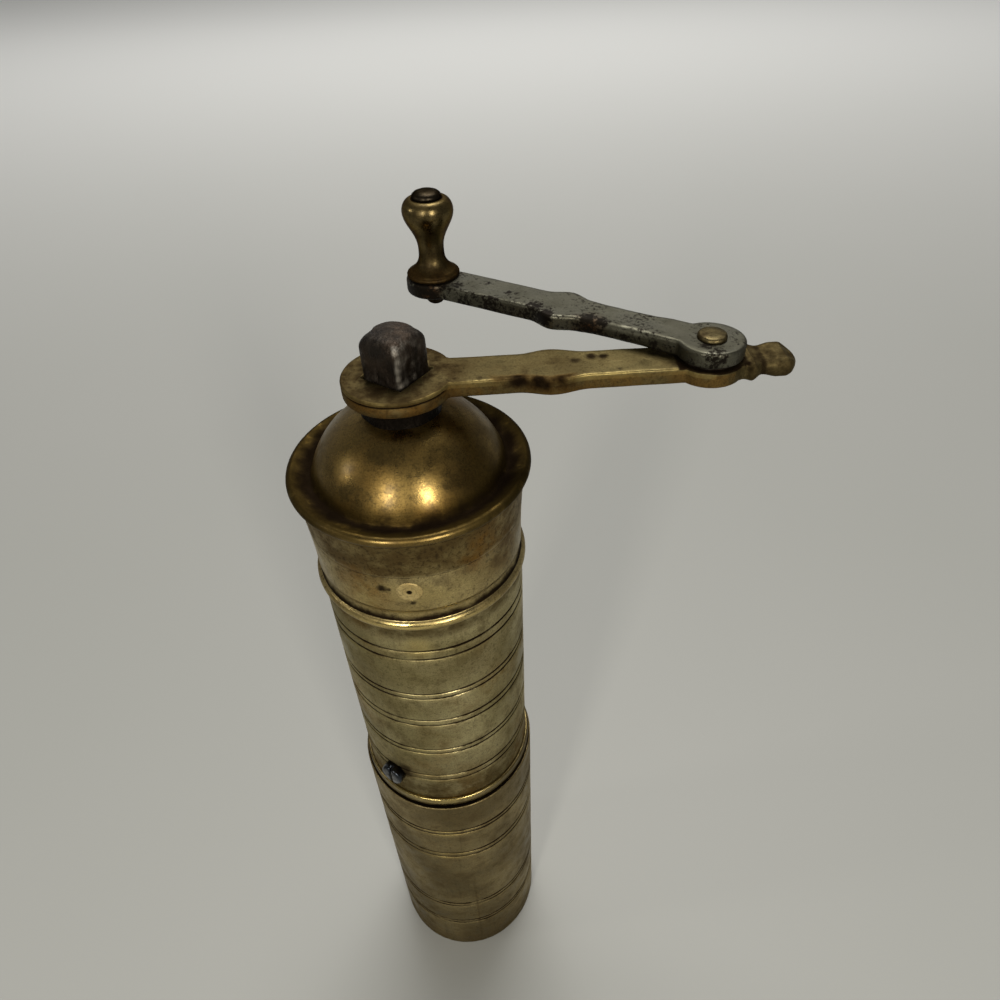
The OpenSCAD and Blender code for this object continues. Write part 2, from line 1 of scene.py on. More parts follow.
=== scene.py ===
# A hand coffee mill of brass tube: turned, engraved and forged metal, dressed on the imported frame.
# Lengths are in millimetres and become metres where a mesh, a finish or the camera is made.
import json
import math
from collections import namedtuple

import bmesh
import bpy
from mathutils import Matrix, Vector, noise


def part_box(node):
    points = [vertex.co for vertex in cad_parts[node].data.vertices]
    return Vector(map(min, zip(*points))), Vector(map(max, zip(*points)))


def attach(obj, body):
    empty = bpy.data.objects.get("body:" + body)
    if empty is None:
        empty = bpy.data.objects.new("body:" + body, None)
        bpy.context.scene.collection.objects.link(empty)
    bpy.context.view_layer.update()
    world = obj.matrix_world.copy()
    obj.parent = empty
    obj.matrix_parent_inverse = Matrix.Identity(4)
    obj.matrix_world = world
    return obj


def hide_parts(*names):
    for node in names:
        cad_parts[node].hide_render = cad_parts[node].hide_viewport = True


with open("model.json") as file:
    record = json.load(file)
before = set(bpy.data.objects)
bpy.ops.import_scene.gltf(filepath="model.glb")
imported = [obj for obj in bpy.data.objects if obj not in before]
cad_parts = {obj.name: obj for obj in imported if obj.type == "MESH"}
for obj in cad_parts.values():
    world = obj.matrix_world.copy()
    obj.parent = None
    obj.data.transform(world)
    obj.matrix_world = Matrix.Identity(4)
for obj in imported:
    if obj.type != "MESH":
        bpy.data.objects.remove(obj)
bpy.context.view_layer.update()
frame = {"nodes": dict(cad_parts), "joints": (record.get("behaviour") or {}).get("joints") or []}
scene = bpy.context.scene
scene.view_settings.view_transform = "Standard"

MM = 0.001
FIT = 0.03         # gap between pieces that are pressed, riveted or soldered together
FACETS = 216       # round a turned piece
WALL_STEP = 1.5    # longest stretch of a turned wall between two rings
PAINTS = ("grime", "tarnish", "copper", "polish")   # values that a mesh carries for its finish: dirt, tarnishing and wear, and with them painted shade and painted highlights


# Places and sizes of the frame

def reach(node):
    """Lowest and highest corner of a CAD node, in millimetres."""
    low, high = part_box(node)
    return Vector(low) / MM, Vector(high) / MM


def anchor_of(joint_name):
    """A point on a joint's axis, in millimetres."""
    joint = next(j for j in frame["joints"] if j["name"] == joint_name)
    return Vector(joint["pos_m"]) / MM


cup_high = reach("cup_wall")[1]
barrel_low, barrel_high = reach("barrel_tube")
ring_low, ring_high = reach("foot_ring")
collar_low, collar_high = reach("hopper_collar")
lid_low, lid_high = reach("dome_lid")
neck_high = reach("lid_neck")[1]
shaft_low, shaft_high = reach("shaft")
arm_low, arm_high = reach("lower_arm")
upper_low = reach("upper_arm")[0]
rivet_low, rivet_high = reach("pivot_rivet")
knob_low, knob_high = reach("knob")
pin_low, pin_high = reach("knob_pin")
pivot = anchor_of("arm_fold")
knob_axis = anchor_of("knob_spin")

CUP_R = cup_high.x
CUP_H = cup_high.z
BARREL_R = barrel_high.x
HUB_R = -arm_low.x
HUB_Z = arm_low.z
ARM_T = arm_high.z - arm_low.z
UPPER_Z = upper_low.z
UPPER_LEN = (knob_axis - pivot).to_2d().length
UPPER_TURN = math.atan2(knob_axis.y - pivot.y, knob_axis.x - pivot.x)


# Curves, places and noise

def ramp(value, width):
    """0 up to a value of 0, then rising to 1 at width."""
    return max(0.0, min(1.0, value / width))


def spaced(low, high, step):
    """Even values from low to high, about step apart."""
    count = max(1, round((high - low) / step))
    return [low + (high - low) * i / count for i in range(count + 1)]


def eased(points, x):
    """Smooth curve through (x, value) points that are each a peak, a hollow or a level."""
    for (x0, v0), (x1, v1) in zip(points, points[1:]):
        if x <= x1:
            share = (1 - math.cos(math.pi * max(0.0, x - x0) / (x1 - x0))) / 2
            return v0 + (v1 - v0) * share
    return points[-1][1]


def round_axis(radius, angle, height):
    """The place at a radius, an angle in radians and a height."""
    return Vector((radius * math.cos(angle), radius * math.sin(angle), height))


def from_axis(place):
    return place.to_2d().length


def outward(place):
    """Level direction away from the axis."""
    return place.to_2d().normalized().to_3d()


def ripple(place, size, seed=0.0):
    """Smooth noise from -1 to 1 that changes over about size millimetres."""
    return noise.noise(place / size + Vector((seed, seed, seed)))


# Turned shapes: a profile of spots is turned round the axis

# Each spot carries dirt, which in some hollows also stands for painted shade, and a bright share: polished
# wear together with painted glints
Spot = namedtuple("Spot", "r z grime sink polish", defaults=(0.0, 0.0, 0.0))


def arc(r, z, radius, start, end, count=6, grime=0.0):
    """Spots on a round stretch about (r, z), from one angle to another, where 0 points out and 90 up."""
    spots = []
    for step in range(count + 1):
        angle = math.radians(start + (end - start) * step / count)
        spots.append(Spot(r + radius * math.cos(angle), z + radius * math.sin(angle), grime))
    return spots


def wall(r, start, end, grime=0.0):
    """Evenly spaced spots along an upright wall, from start up to but not at end."""
    count = max(1, math.ceil(abs(end - start) / WALL_STEP))
    return [Spot(r, start + (end - start) * step / count, grime) for step in range(count)]


LINE_D = 0.34      # depth of an engraved line
LINE_SHAPE = (     # height, depth, grime and polish across a line: the grime is dirt in the groove, and the polish a glint painted on the lower lip
    (-1.0, 0.0, 0.2, 0.3), (-0.75, 0.35, 0.9, 0.7), (-0.45, 1.0, 1.0, 0.0), (0.6, 1.0, 1.0, 0.0),
    (0.85, 0.5, 0.9, 0.0), (1.1, 0.0, 0.2, 0.0),
)
GLINT_SPREAD = 15  # how far from the camera-facing side, in degrees, a line's glint is painted
GLINT_Z = 50       # no glint is painted on a line below this


def engraved_wall(r, low, high, lines, width, glint):
    """Spots up a wall with a flat-bottomed groove at each line's height, whose lower lip gets a painted
    glint.
    """
    spots = []
    level = low
    clear = 0.7 * width   # from the middle of a line to the plain wall
    for line in sorted(lines):
        spots += wall(r, level, line - clear)
        for side, depth, grime, polish in LINE_SHAPE:
            # the lower lip's glint is painted, and only on lines high enough
            shine = glint * polish * (line > GLINT_Z)
            spots.append(Spot(r, line + side * width / 2, grime, depth * LINE_D, shine))
        level = line + clear
    return spots + wall(r, level, high)


def pairs(lines):
    """Heights of single lines from (middle, distance apart) of pairs."""
    return [middle + side * apart / 2 for middle, apart in lines for side in (-1, 1)]


def move(builder, x, y, z):
    bmesh.ops.translate(builder, vec=(x, y, z), verts=builder.verts)


def new_piece(name, builder):
    """Ends a bmesh in millimetres as a smooth object in metres."""
    bmesh.ops.recalc_face_normals(builder, faces=builder.faces)
    bmesh.ops.scale(builder, vec=(MM, MM, MM), verts=builder.verts)
    mesh = bpy.data.meshes.new(name)
    builder.to_mesh(mesh)
    builder.free()
    mesh.shade_smooth()
    piece = bpy.data.objects.new(name, mesh)
    scene.collection.objects.link(piece)
    return piece


def bridge(builder, first, second):
    """Faces between two rings of as many corners, where a ring may be one point."""
    count = max(len(first), len(second))
    for step in range(count):
        after = (step + 1) % count
        corners = [first[step % len(first)], first[after % len(first)],
                   second[after % len(second)], second[step % len(second)]]
        corners = list(dict.fromkeys(corners))
        if len(corners) > 2:
            builder.faces.new(corners)


def no_wear(angle, height):
    return 1.0


LIT_FRONT_TURN = math.radians(-93)   # the side that faces the camera, where highlights are painted


def lit_front(place, spread):
    """1 on the side facing the camera, where highlights are painted, fading out by spread degrees to each
    side.
    """
    turn = math.degrees(math.atan2(place.y, place.x) - LIT_FRONT_TURN)
    return math.exp(-(turn / spread) ** 2)


def turned(profile, closed=True, dent=None, depth_at=no_wear, facets=FACETS, **paints):
    """A bmesh of the profile turned round Z.

    dent moves a point in or out, depth_at is the share that is left of a sunk line's depth, and each paint
    gives its value at a place."""
    builder = bmesh.new()
    layers = {name: builder.verts.layers.float.new(name) for name in PAINTS}
    rings = []
    for spot in profile:
        ring = []
        for step in range(facets if spot.r > 0 else 1):
            angle = math.tau * step / facets
            depth = depth_at(angle, spot.z) if spot.sink else 1.0
            place = round_axis(spot.r - spot.sink * depth, angle, spot.z)
            values = {name: paint(place) for name, paint in paints.items()}
            # painted glint: where a spot with a bright share faces the camera it is painted bright and its
            # dirt is cleared
            painted_shine = lit_front(place, GLINT_SPREAD) if spot.polish else 0.0
            values["grime"] = max(values.get("grime", 0.0), spot.grime * depth * (1 - painted_shine))
            values["polish"] = max(values.get("polish", 0.0), spot.polish * painted_shine)
            if dent and spot.r > 0:
                place = place + outward(place) * dent(place)
            corner = builder.verts.new(place)
            for name, value in values.items():
                corner[layers[name]] = value
            ring.append(corner)
        rings.append(ring)
    for first, second in zip(rings, rings[1:]):
        bridge(builder, first, second)
    if closed:
        bridge(builder, rings[-1], rings[0])
    return builder


def patches(*spots):
    """A paint of ragged round patches, each a (place, radius, strength)."""
    def paint(place):
        uneven = 0.3 * ripple(place, 2.5)
        return max(
            strength * ramp(1.5 - 1.5 * (place - middle).length / radius + uneven, 1.0)
            for middle, radius, strength in spots
        )
    return paint


# Finishes: aged metals from noise at several scales, the dirt, wear, painted shade and painted highlights
# carried on the meshes, and fine bump

def colour(text):
    """Linear colour of a six-digit hexadecimal one."""
    channels = [int(text[i:i + 2], 16) / 255 for i in (0, 2, 4)]
    return [c / 12.92 if c < 0.04045 else ((c + 0.055) / 1.055) ** 2.4 for c in channels] + [1.0]


class Nodes:
    """Short calls for the nodes of a material or a world; a value is a plain one or a node's output."""

    def __init__(self, owner):
        owner.use_nodes = True
        self.nodes = owner.node_tree.nodes
        self.links = owner.node_tree.links

    def feed(self, socket, value):
        """Links an output to a socket, or sets a plain value on it."""
        if isinstance(value, bpy.types.NodeSocket):
            self.links.new(value, socket)
        else:
            socket.default_value = value

    def place_as(self, kind):
        return self.nodes.new("ShaderNodeTexCoord").outputs[kind]

    def depth_of(self, place):
        """Y of a place or a direction, which grows towards the back."""
        node = self.nodes.new("ShaderNodeSeparateXYZ")
        self.feed(node.inputs["Vector"], place)
        return node.outputs["Y"]

    def ease(self, value, low, high, first=0.0, last=1.0):
        """Value eased from first, at low, to last, at high."""
        node = self.nodes.new("ShaderNodeMapRange")
        node.interpolation_type = "SMOOTHSTEP"
        for socket, number in zip(node.inputs, (value, low, high, first, last)):
            self.feed(socket, number)
        return node.outputs["Result"]

    def maths(self, operation, first, second):
        node = self.nodes.new("ShaderNodeMath")
        node.operation = operation
        self.feed(node.inputs[0], first)
        self.feed(node.inputs[1], second)
        return node.outputs["Value"]

    def times(self, first, second):
        return self.maths("MULTIPLY", first, second)

    def plus(self, first, second):
        return self.maths("ADD", first, second)

    def most(self, first, second):
        return self.maths("MAXIMUM", first, second)

    def mix(self, share, first, second):
        """Colour between first and second."""
        node = self.nodes.new("ShaderNodeMix")
        node.data_type = "RGBA"
        self.feed(node.inputs["Factor"], share)
        self.feed(node.inputs[6], first)
        self.feed(node.inputs[7], second)
        return node.outputs[2]


class Finish(Nodes):
    """A procedural material under construction."""

    def __init__(self, name):
        self.material = bpy.data.materials.new(name)
        super().__init__(self.material)
        self.place = self.place_as("Object")

    def shade(self, **values):
        """Feeds the shader's inputs, named with underscores for spaces."""
        for name, value in values.items():
            self.feed(self.nodes["Principled BSDF"].inputs[name.replace("_", " ")], value)

    def noise(self, size, detail=4.0, rough=0.55, stretch=(1, 1, 1), seed=0.0):
        """Noise from 0 to 1 whose features are about size millimetres, times stretch along each axis."""
        spread = self.nodes.new("ShaderNodeMapping")
        spread.inputs["Location"].default_value = (seed, seed, seed)
        spread.inputs["Scale"].default_value = [1 / (size * MM * share) for share in stretch]
        self.links.new(self.place, spread.inputs["Vector"])
        texture = self.nodes.new("ShaderNodeTexNoise")
        texture.inputs["Scale"].default_value = 1.0
        texture.inputs["Detail"].default_value = detail
        texture.inputs["Roughness"].default_value = rough
        self.links.new(spread.outputs["Vector"], texture.inputs["Vector"])
        return texture.outputs["Fac"]

    def painted(self, name):
        """A value painted on the mesh."""
        node = self.nodes.new("ShaderNodeAttribute")
        node.attribute_name = name
        return node.outputs["Fac"]

    def bump(self, height, depth, under=None):
        """Normal of a relief of depth millimetres, on top of another."""
        node = self.nodes.new("ShaderNodeBump")
        node.inputs["Distance"].default_value = depth * MM
        self.links.new(height, node.inputs["Height"])
        if under:
            self.links.new(under, node.inputs["Normal"])
        return node.outputs["Normal"]


# dark colour of dirt, also used for shade painted into hollows and under the hub
GRIME_AND_SHADE = colour("231a10")
PIT = colour("1f1b16")
COPPER = colour("90682a")
# colour of polished wear and of painted highlights and glints
POLISH_AND_GLINT_TONE = colour("cdb56e")
EDGE_TINT = (0.66, 0.66, 0.64, 1)   # patina dulls the shine at a grazing angle, and the tint also paints the dim room's dark reflection there
# far darker grazing tint of the knob and pin: a painted dark reflection at their edges
DARK_RIM_REFLECTION = (0.3, 0.28, 0.24, 1)
ROUND_MARKS = (1, 1, 0.015)         # stretch of fine marks round the axis, and along a bar
LONG_MARKS = (1, 0.03, 1)
UPRIGHT_RUNS = (0.05, 0.05, 1)      # stretch of faint runs down a wall, and of blots on a bar
BAR_RUNS = (0.3, 0.3, 0.3)


def aged_brass(
    name, bright, dull, stain, gloss, patina, grit=0.35,
    marks=ROUND_MARKS, runs=UPRIGHT_RUNS, edge=EDGE_TINT, grease=0.0,
):
    """Brass with cloudy patina, brown tarnishing, dark specks, fine marks and black dirt in its hollows,
    with the painted shade and painted highlights that the mesh carries.
    """
    metal = Finish(name)
    cloud = metal.noise(24, detail=2, seed=3)
    mottle = metal.noise(5, detail=6, rough=0.62, seed=7)
    specks = metal.noise(0.9, detail=3, rough=0.65, seed=11)
    grain = metal.noise(0.35, detail=2, seed=17)
    lines = metal.noise(20, detail=5, rough=0.7, stretch=marks)
    streaks = metal.noise(16, detail=4, rough=0.65, stretch=runs, seed=23)
    tarnish = metal.painted("tarnish")
    polish = metal.painted("polish")

    ground = metal.mix(metal.ease(cloud, 0.36, 0.62), colour(bright), colour(dull))
    blotch = metal.times(metal.ease(mottle, 0.42, 0.7), patina)
    brown = metal.times(tarnish, metal.ease(mottle, 0.3, 0.6, 0.45, 1.0))
    ground = metal.mix(metal.most(blotch, brown), ground, colour(stain))
    reddish = metal.times(metal.painted("copper"), metal.ease(mottle, 0.34, 0.6, 0.2, 1.0))
    ground = metal.mix(reddish, ground, COPPER)
    fine = metal.most(metal.ease(grain, 0.42, 0.72), metal.ease(lines, 0.5, 0.78))
    fine = metal.most(fine, metal.ease(streaks, 0.5, 0.76))
    ground = metal.mix(metal.times(fine, 0.55), ground, colour(stain))
    depth = metal.plus(specks, metal.times(tarnish, 0.05))
    pits = metal.times(metal.ease(depth, 0.53, 0.7), grit)
    ground = metal.mix(pits, ground, GRIME_AND_SHADE)
    # polished wear and painted highlights lighten the brass
    polish_and_glint_share = metal.times(polish, metal.ease(mottle, 0.66, 0.4, 0.3, 0.8))
    ground = metal.mix(polish_and_glint_share, ground, POLISH_AND_GLINT_TONE)
    # dirt, and shade painted into hollows, darken it
    uneven = metal.times(metal.maths("SUBTRACT", mottle, 0.5), 1.1)
    dirt_and_shade_share = metal.ease(metal.plus(metal.painted("grime"), uneven), 0.12, 0.86)
    tone = metal.mix(dirt_and_shade_share, ground, GRIME_AND_SHADE)

    rough = metal.ease(mottle, 0.32, 0.66, gloss - 0.08, gloss + 0.14)
    rough = metal.plus(rough, metal.times(metal.most(dirt_and_shade_share, pits), 0.22))
    rough = metal.plus(rough, metal.times(tarnish, 0.2))
    rough = metal.maths("SUBTRACT", rough, metal.times(polish, 0.12))
    relief = metal.bump(lines, 0.014)
    relief = metal.bump(specks, 0.012, relief)
    relief = metal.bump(mottle, 0.035, relief)
    relief = metal.bump(cloud, 0.25, relief)
    metal.shade(Base_Color=tone, Metallic=1.0, Specular_Tint=edge, Roughness=rough, Normal=relief)
    if grease:
        clean = metal.maths("SUBTRACT", 1.0, metal.most(dirt_and_shade_share, tarnish))
        metal.shade(Coat_Weight=metal.times(clean, grease), Coat_Roughness=gloss)
    return metal.material


def pitted_steel(name, clean, grey, rust, gloss=0.42, pitting=0.765):
    """Grey steel with cloudy oxide, fine black pits and rust where it is painted."""
    metal = Finish(name)
    cloud = metal.noise(7, detail=5, seed=5)
    pits = metal.noise(0.9, detail=5, rough=0.7, seed=9)
    spread = metal.noise(8, detail=3, seed=13)
    grain = metal.noise(0.35, detail=2, seed=4)

    ground = metal.mix(metal.ease(cloud, 0.35, 0.66), colour(clean), colour(grey))
    ground = metal.mix(metal.times(metal.ease(grain, 0.44, 0.7), 0.5), ground, colour(grey))
    rusty = metal.times(metal.painted("tarnish"), metal.ease(cloud, 0.36, 0.58))
    ground = metal.mix(rusty, ground, colour(rust))
    depth = metal.plus(pits, metal.times(spread, 0.5))
    depth = metal.plus(depth, metal.times(metal.painted("grime"), 0.42))
    black = metal.ease(depth, pitting, pitting + 0.16)
    tone = metal.mix(black, ground, PIT)

    rough = metal.ease(cloud, 0.3, 0.7, gloss - 0.06, gloss + 0.12)
    rough = metal.plus(rough, metal.times(black, 0.2))
    relief = metal.bump(pits, 0.05)
    relief = metal.bump(cloud, 0.06, relief)
    metal.shade(Base_Color=tone, Metallic=1.0, Roughness=rough, Normal=relief)
    return metal.material


def forged_iron(name, dark, worn, rust):
    """Dark forged iron with scale and hammered strokes, worn bright along them, and lighter still where
    the mesh carries painted light.
    """
    metal = Finish(name)
    scale = metal.noise(2.4, detail=7, rough=0.68, seed=2)
    cloud = metal.noise(7, detail=3, seed=6)
    strokes = metal.noise(7, detail=4, rough=0.65, stretch=(0.2, 0.2, 1), seed=8)

    ground = metal.mix(metal.ease(cloud, 0.4, 0.66), colour(dark), colour(rust))
    # painted light from the mesh, with the scale and strokes, lightens the iron
    shine = metal.plus(metal.painted("painted_shine"), metal.times(scale, 0.55))
    shine = metal.plus(shine, metal.times(strokes, 0.45))
    tone = metal.mix(metal.ease(shine, 0.48, 1.0), ground, colour(worn))
    relief = metal.bump(scale, 0.3)
    relief = metal.bump(strokes, 0.35, relief)
    rough = metal.ease(scale, 0.3, 0.7, 0.4, 0.66)
    metal.shade(Base_Color=tone, Metallic=1.0, Roughness=rough, Normal=relief)
    return metal.material


cup_brass = aged_brass("cup_brass", "a6956a", "80714d", "4a3b24", gloss=0.4, patina=0.5)
barrel_brass = aged_brass("barrel_brass", "c1b486", "9a8e62", "574a2d", gloss=0.37, patina=0.6)
ring_brass = aged_brass("ring_brass", "8d7e50", "7c6d42", "4e4026", gloss=0.3, patina=0.3, grease=0.4)
collar_brass = aged_brass(
    "collar_brass", "c4b079", "9a8857", "4c3a1e", gloss=0.31, patina=0.62, grit=0.55, grease=0.3,
)
flush_brass = aged_brass("flush_brass", "e2cb90", "cfb575", "8a6f3d", gloss=0.4, patina=0.4)
lid_brass = aged_brass(
    "lid_brass", "8f7640", "70582b", "342911", gloss=0.25, patina=0.5, grit=0.25, grease=0.25,
)
arm_brass = aged_brass(
    "arm_brass", "746844", "5d5234", "3c2f1b", gloss=0.42, patina=0.6, marks=LONG_MARKS, runs=BAR_RUNS,
)
rivet_brass = aged_brass("rivet_brass", "6a5f41", "574c33", "352a1a", gloss=0.4, patina=0.6)
knob_brass = aged_brass(
    "knob_brass", "75653f", "54462b", "2b2215", gloss=0.25, patina=0.55, edge=DARK_RIM_REFLECTION, grease=0.2,
)
pin_brass = aged_brass("pin_brass", "332d24", "282219", "18130e", gloss=0.36, patina=0.5, edge=DARK_RIM_REFLECTION)
arm_steel = pitted_steel("arm_steel", "626053", "4b493d", "45301f")
screw_steel = pitted_steel("screw_steel", "3f4349", "1f2226", "2c2018", gloss=0.2, pitting=0.78)
iron = forged_iron("forged_iron", "2c2722", "857f75", "40362d")
black_iron = forged_iron("black_iron", "0f0c09", "1f1b16", "15110d")
burr_iron = forged_iron("burr_iron", "4a4641", "7c7872", "4f4036")


def dress(piece, body, slot, material, *nodes):
    """Gives a piece its finish and its body, and hides the CAD nodes that it stands for."""
    piece.data.materials.append(material)
    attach(piece, body)
    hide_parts(*nodes)


def bore(piece, cutter):
    """Cuts one object out of another for good."""
    cut = piece.modifiers.new("bore", "BOOLEAN")
    cut.object = cutter
    cut.operation = "DIFFERENCE"
    cut.solver = "EXACT"
    whole = piece.data
    done = bpy.data.meshes.new_from_object(piece.evaluated_get(bpy.context.evaluated_depsgraph_get()))
    piece.modifiers.clear()
    piece.data = done
    done.name = piece.name
    bpy.data.meshes.remove(whole)
    bpy.data.objects.remove(cutter)


def box_cutter(size, height, turn=0.0):
    builder = bmesh.new()
    bmesh.ops.create_cube(builder, size=1)
    bmesh.ops.scale(builder, vec=size, verts=builder.verts)
    bmesh.ops.rotate(builder, matrix=Matrix.Rotation(turn, 3, "Z"), verts=builder.verts)
    move(builder, 0, 0, height)
    return new_piece("cutter", builder)


def round_cutter(r, low, high, x=0.0):
    builder = turned([Spot(0, low), Spot(r, low), Spot(r, high), Spot(0, high)], closed=False, facets=64)
    move(builder, x, 0, 0)
    return new_piece("cutter", builder)


# Wear that the tubes share

THIN_LINES_TURN = math.radians(-98)   # the side where the engraved lines are rubbed away most


def rubbed_lines(angle, height):
    """Share that is left of an engraved line's depth: least on the worn side, patchy all round."""
    facing = max(0.0, math.cos(angle - THIN_LINES_TURN)) ** 3
    patch = noise.noise(Vector((3 * math.cos(angle), 3 * math.sin(angle), height / 5)))
    return max(0.25, min(1.0, 1.2 - 0.5 * facing + 0.5 * patch))


def tube_dent(depth, seed):
    """A dent of shallow waves, broad and narrow ones."""
    def dent(place):
        return depth * (0.7 * ripple(place, 17, seed) + 0.3 * ripple(place, 6, seed))
    return dent


# Cup: the lower tube, dented and worn, with four pairs of engraved lines

TUBE_EDGE = 0.3    # round at a tube's thin edge
CUP_BORE_R = CUP_R - 1.4
CUP_EDGE = 0.35
CUP_LINE_W = 1.2
CUP_LINES = pairs(((22.9, 2.0), (39.8, 2.3), (CUP_H - 32.3, 2.6), (CUP_H - 16.2, 2.0)))
CUP_SEAM_TURN = math.radians(-80)   # a faint upright line where the tube was brazed


def cup_tarnish(place):
    """Brown at the foot, along the brazed seam and in broad clouds."""
    foot = 0.7 * ramp(13 - place.z, 11)
    beside = abs(math.atan2(place.y, place.x) - CUP_SEAM_TURN) * CUP_R
    seam = 0.7 * ramp(0.9 - beside, 0.6) * ramp(72 - place.z, 25)
    return max(foot, seam, 0.5 * ripple(place, 19, 5.1))


def make_cup():
    profile = arc(CUP_R - CUP_EDGE, CUP_EDGE, CUP_EDGE, -90, 0)
    wall_low = CUP_EDGE + 0.4
    wall_high = CUP_H - CUP_EDGE - 0.2
    profile += engraved_wall(CUP_R, wall_low, wall_high, CUP_LINES, CUP_LINE_W, glint=1.0)
    profile += arc(CUP_R - CUP_EDGE, CUP_H - CUP_EDGE, CUP_EDGE, 0, 75)
    profile += [Spot(CUP_R - CUP_EDGE, CUP_H, 1.0)]
    profile += arc(CUP_BORE_R + TUBE_EDGE, CUP_H - TUBE_EDGE, TUBE_EDGE, 90, 180, 3, grime=1.0)
    profile += wall(CUP_BORE_R, CUP_H - 3, 0) + [Spot(CUP_BORE_R, 0)]
    builder = turned(profile, dent=tube_dent(0.1, 1.7), depth_at=rubbed_lines, tarnish=cup_tarnish)
    dress(new_piece("cup", builder), "receiver", "cup_brass", cup_brass, "cup_wall")


# Barrel: the upper tube, whose lower end slides into the cup

BARREL_BORE_R = BARREL_R - 1.0
BARREL_LINE_W = 0.9
BARREL_LINES = pairs(
    (CUP_H + up, apart)
    for up, apart in ((15.9, 2.6), (30.2, 2.0), (44.4, 2.4), (56.5, 2.0), (73.4, 3.2))
)
SCREW_TURN = math.radians(-125)
SCREW_Z = CUP_H + 14.4
SMEAR_TURN = math.radians(-126)   # a brown smear on the left
SMEAR_Z = CUP_H + 60


def barrel_tarnish(place):
    """Brown below the collar and towards the cup, with a smear between and broad clouds."""
    up = place.z - CUP_H
    low = ramp(32 - up, 24)
    under_collar = 0.9 * ramp(up - 78.5, 2.5)
    away = (place - round_axis(BARREL_R, SMEAR_TURN, SMEAR_Z)).length
    smear = 0.6 * ramp(12 - away, 9)
    return max(low, under_collar, smear, 0.7 * ripple(place, 17, 2.7))


def brown_clouds(place):
    return 0.5 * ripple(place, 15, 6.3)


def make_barrel():
    stains = []
    for turn in (0, math.pi):
        stains.append((round_axis(BARREL_R, SCREW_TURN + turn, SCREW_Z), 5.5, 0.8))
        stains.append((round_axis(BARREL_R, SCREW_TURN + turn + 0.14, SCREW_Z + 2.5), 5.5, 0.55))
    profile = arc(BARREL_R - TUBE_EDGE, barrel_low.z + TUBE_EDGE, TUBE_EDGE, -90, 0, 3)
    profile += engraved_wall(
        BARREL_R, barrel_low.z + 1, barrel_high.z, BARREL_LINES, BARREL_LINE_W, glint=0.3,
    )
    profile += [Spot(BARREL_R, barrel_high.z), Spot(BARREL_BORE_R, barrel_high.z)]
    profile += wall(BARREL_BORE_R, barrel_high.z - 2, barrel_low.z) + [Spot(BARREL_BORE_R, barrel_low.z)]
    builder = turned(
        profile,
        dent=tube_dent(0.08, 4.1),
        depth_at=rubbed_lines,
        grime=patches(*stains),
        tarnish=barrel_tarnish,
        copper=brown_clouds,
        # a painted highlight on the barrel's front, under the collar
        polish=patches((round_axis(BARREL_R, LIT_FRONT_TURN, CUP_H + 76), 5, 0.6)),
    )
    dress(new_piece("barrel", builder), "barrel", "barrel_brass", barrel_brass, "barrel_tube")


# Foot ring: rests on the cup's rim over a dark seam

SEAM_H = 1.1
SEAM_D = 0.35
RING_EDGE = 0.6


def make_foot_ring():
    inner = BARREL_R + FIT
    outer = ring_high.x
    seam_r = outer - SEAM_D
    low = ring_low.z
    high = ring_high.z
    profile = [Spot(inner, low, 1), Spot(seam_r, low, 1), Spot(seam_r, low + SEAM_H, 1)]
    profile += [Spot(outer - 0.1, low + SEAM_H, 0.3)]
    profile += wall(outer, low + SEAM_H + 0.1, high - RING_EDGE)
    profile += arc(outer - RING_EDGE, high - RING_EDGE, RING_EDGE, 0, 80, 8)
    profile += [Spot(inner + 0.1, high - 0.05, 0.3), Spot(inner, high - 0.1, 0.5)]

    # a highlight painted on the ring's front, facing the camera
    def polish(place):
        return lit_front(place, 28) * ramp(place.z - low - SEAM_H, 0.5)

    # the ring's sides painted darker than its front as painted shade, with random tarnishing
    def tarnish(place):
        return 0.5 - 0.5 * lit_front(place, 40) + 0.3 * ripple(place, 6, 1.4)
    builder = turned(profile, polish=polish, tarnish=tarnish)
    dress(new_piece("foot_ring_turned", builder), "barrel", "barrel_brass", ring_brass, "foot_ring")


# Collar: a bead, a hollow above it and a wall that flares up to the lid

COLLAR_BORE_R = BARREL_R - 1.4
COLLAR_EDGE = 0.4
WAIST_R = BARREL_R - 0.1
WAIST_Z = collar_low.z + 7.5
BEAD_R = 1.6
BEAD_OUT = 0.9
BEAD_Z = collar_low.z + BEAD_R
COVE_H = 3.6
COVE_D = 0.5
COVE_ARC_R = (COVE_H ** 2 / 4 + COVE_D ** 2) / (2 * COVE_D)
FLARE_OUT = collar_high.x - WAIST_R
FLARE_H = collar_high.z - WAIST_Z
FLARE_ARC_R = (FLARE_H ** 2 + FLARE_OUT ** 2) / (2 * FLARE_OUT)
SCRIBED_Z = collar_low.z + 17.5   # a faint line round the collar
RIVET_TURN = math.radians(-92)
RIVET_Z = collar_high.z - 15.1
RIVET_R = 3.0


def flare_r(height):
    """Radius of the collar's wall at a height."""
    return WAIST_R + FLARE_ARC_R - math.sqrt(FLARE_ARC_R ** 2 - (height - WAIST_Z) ** 2)


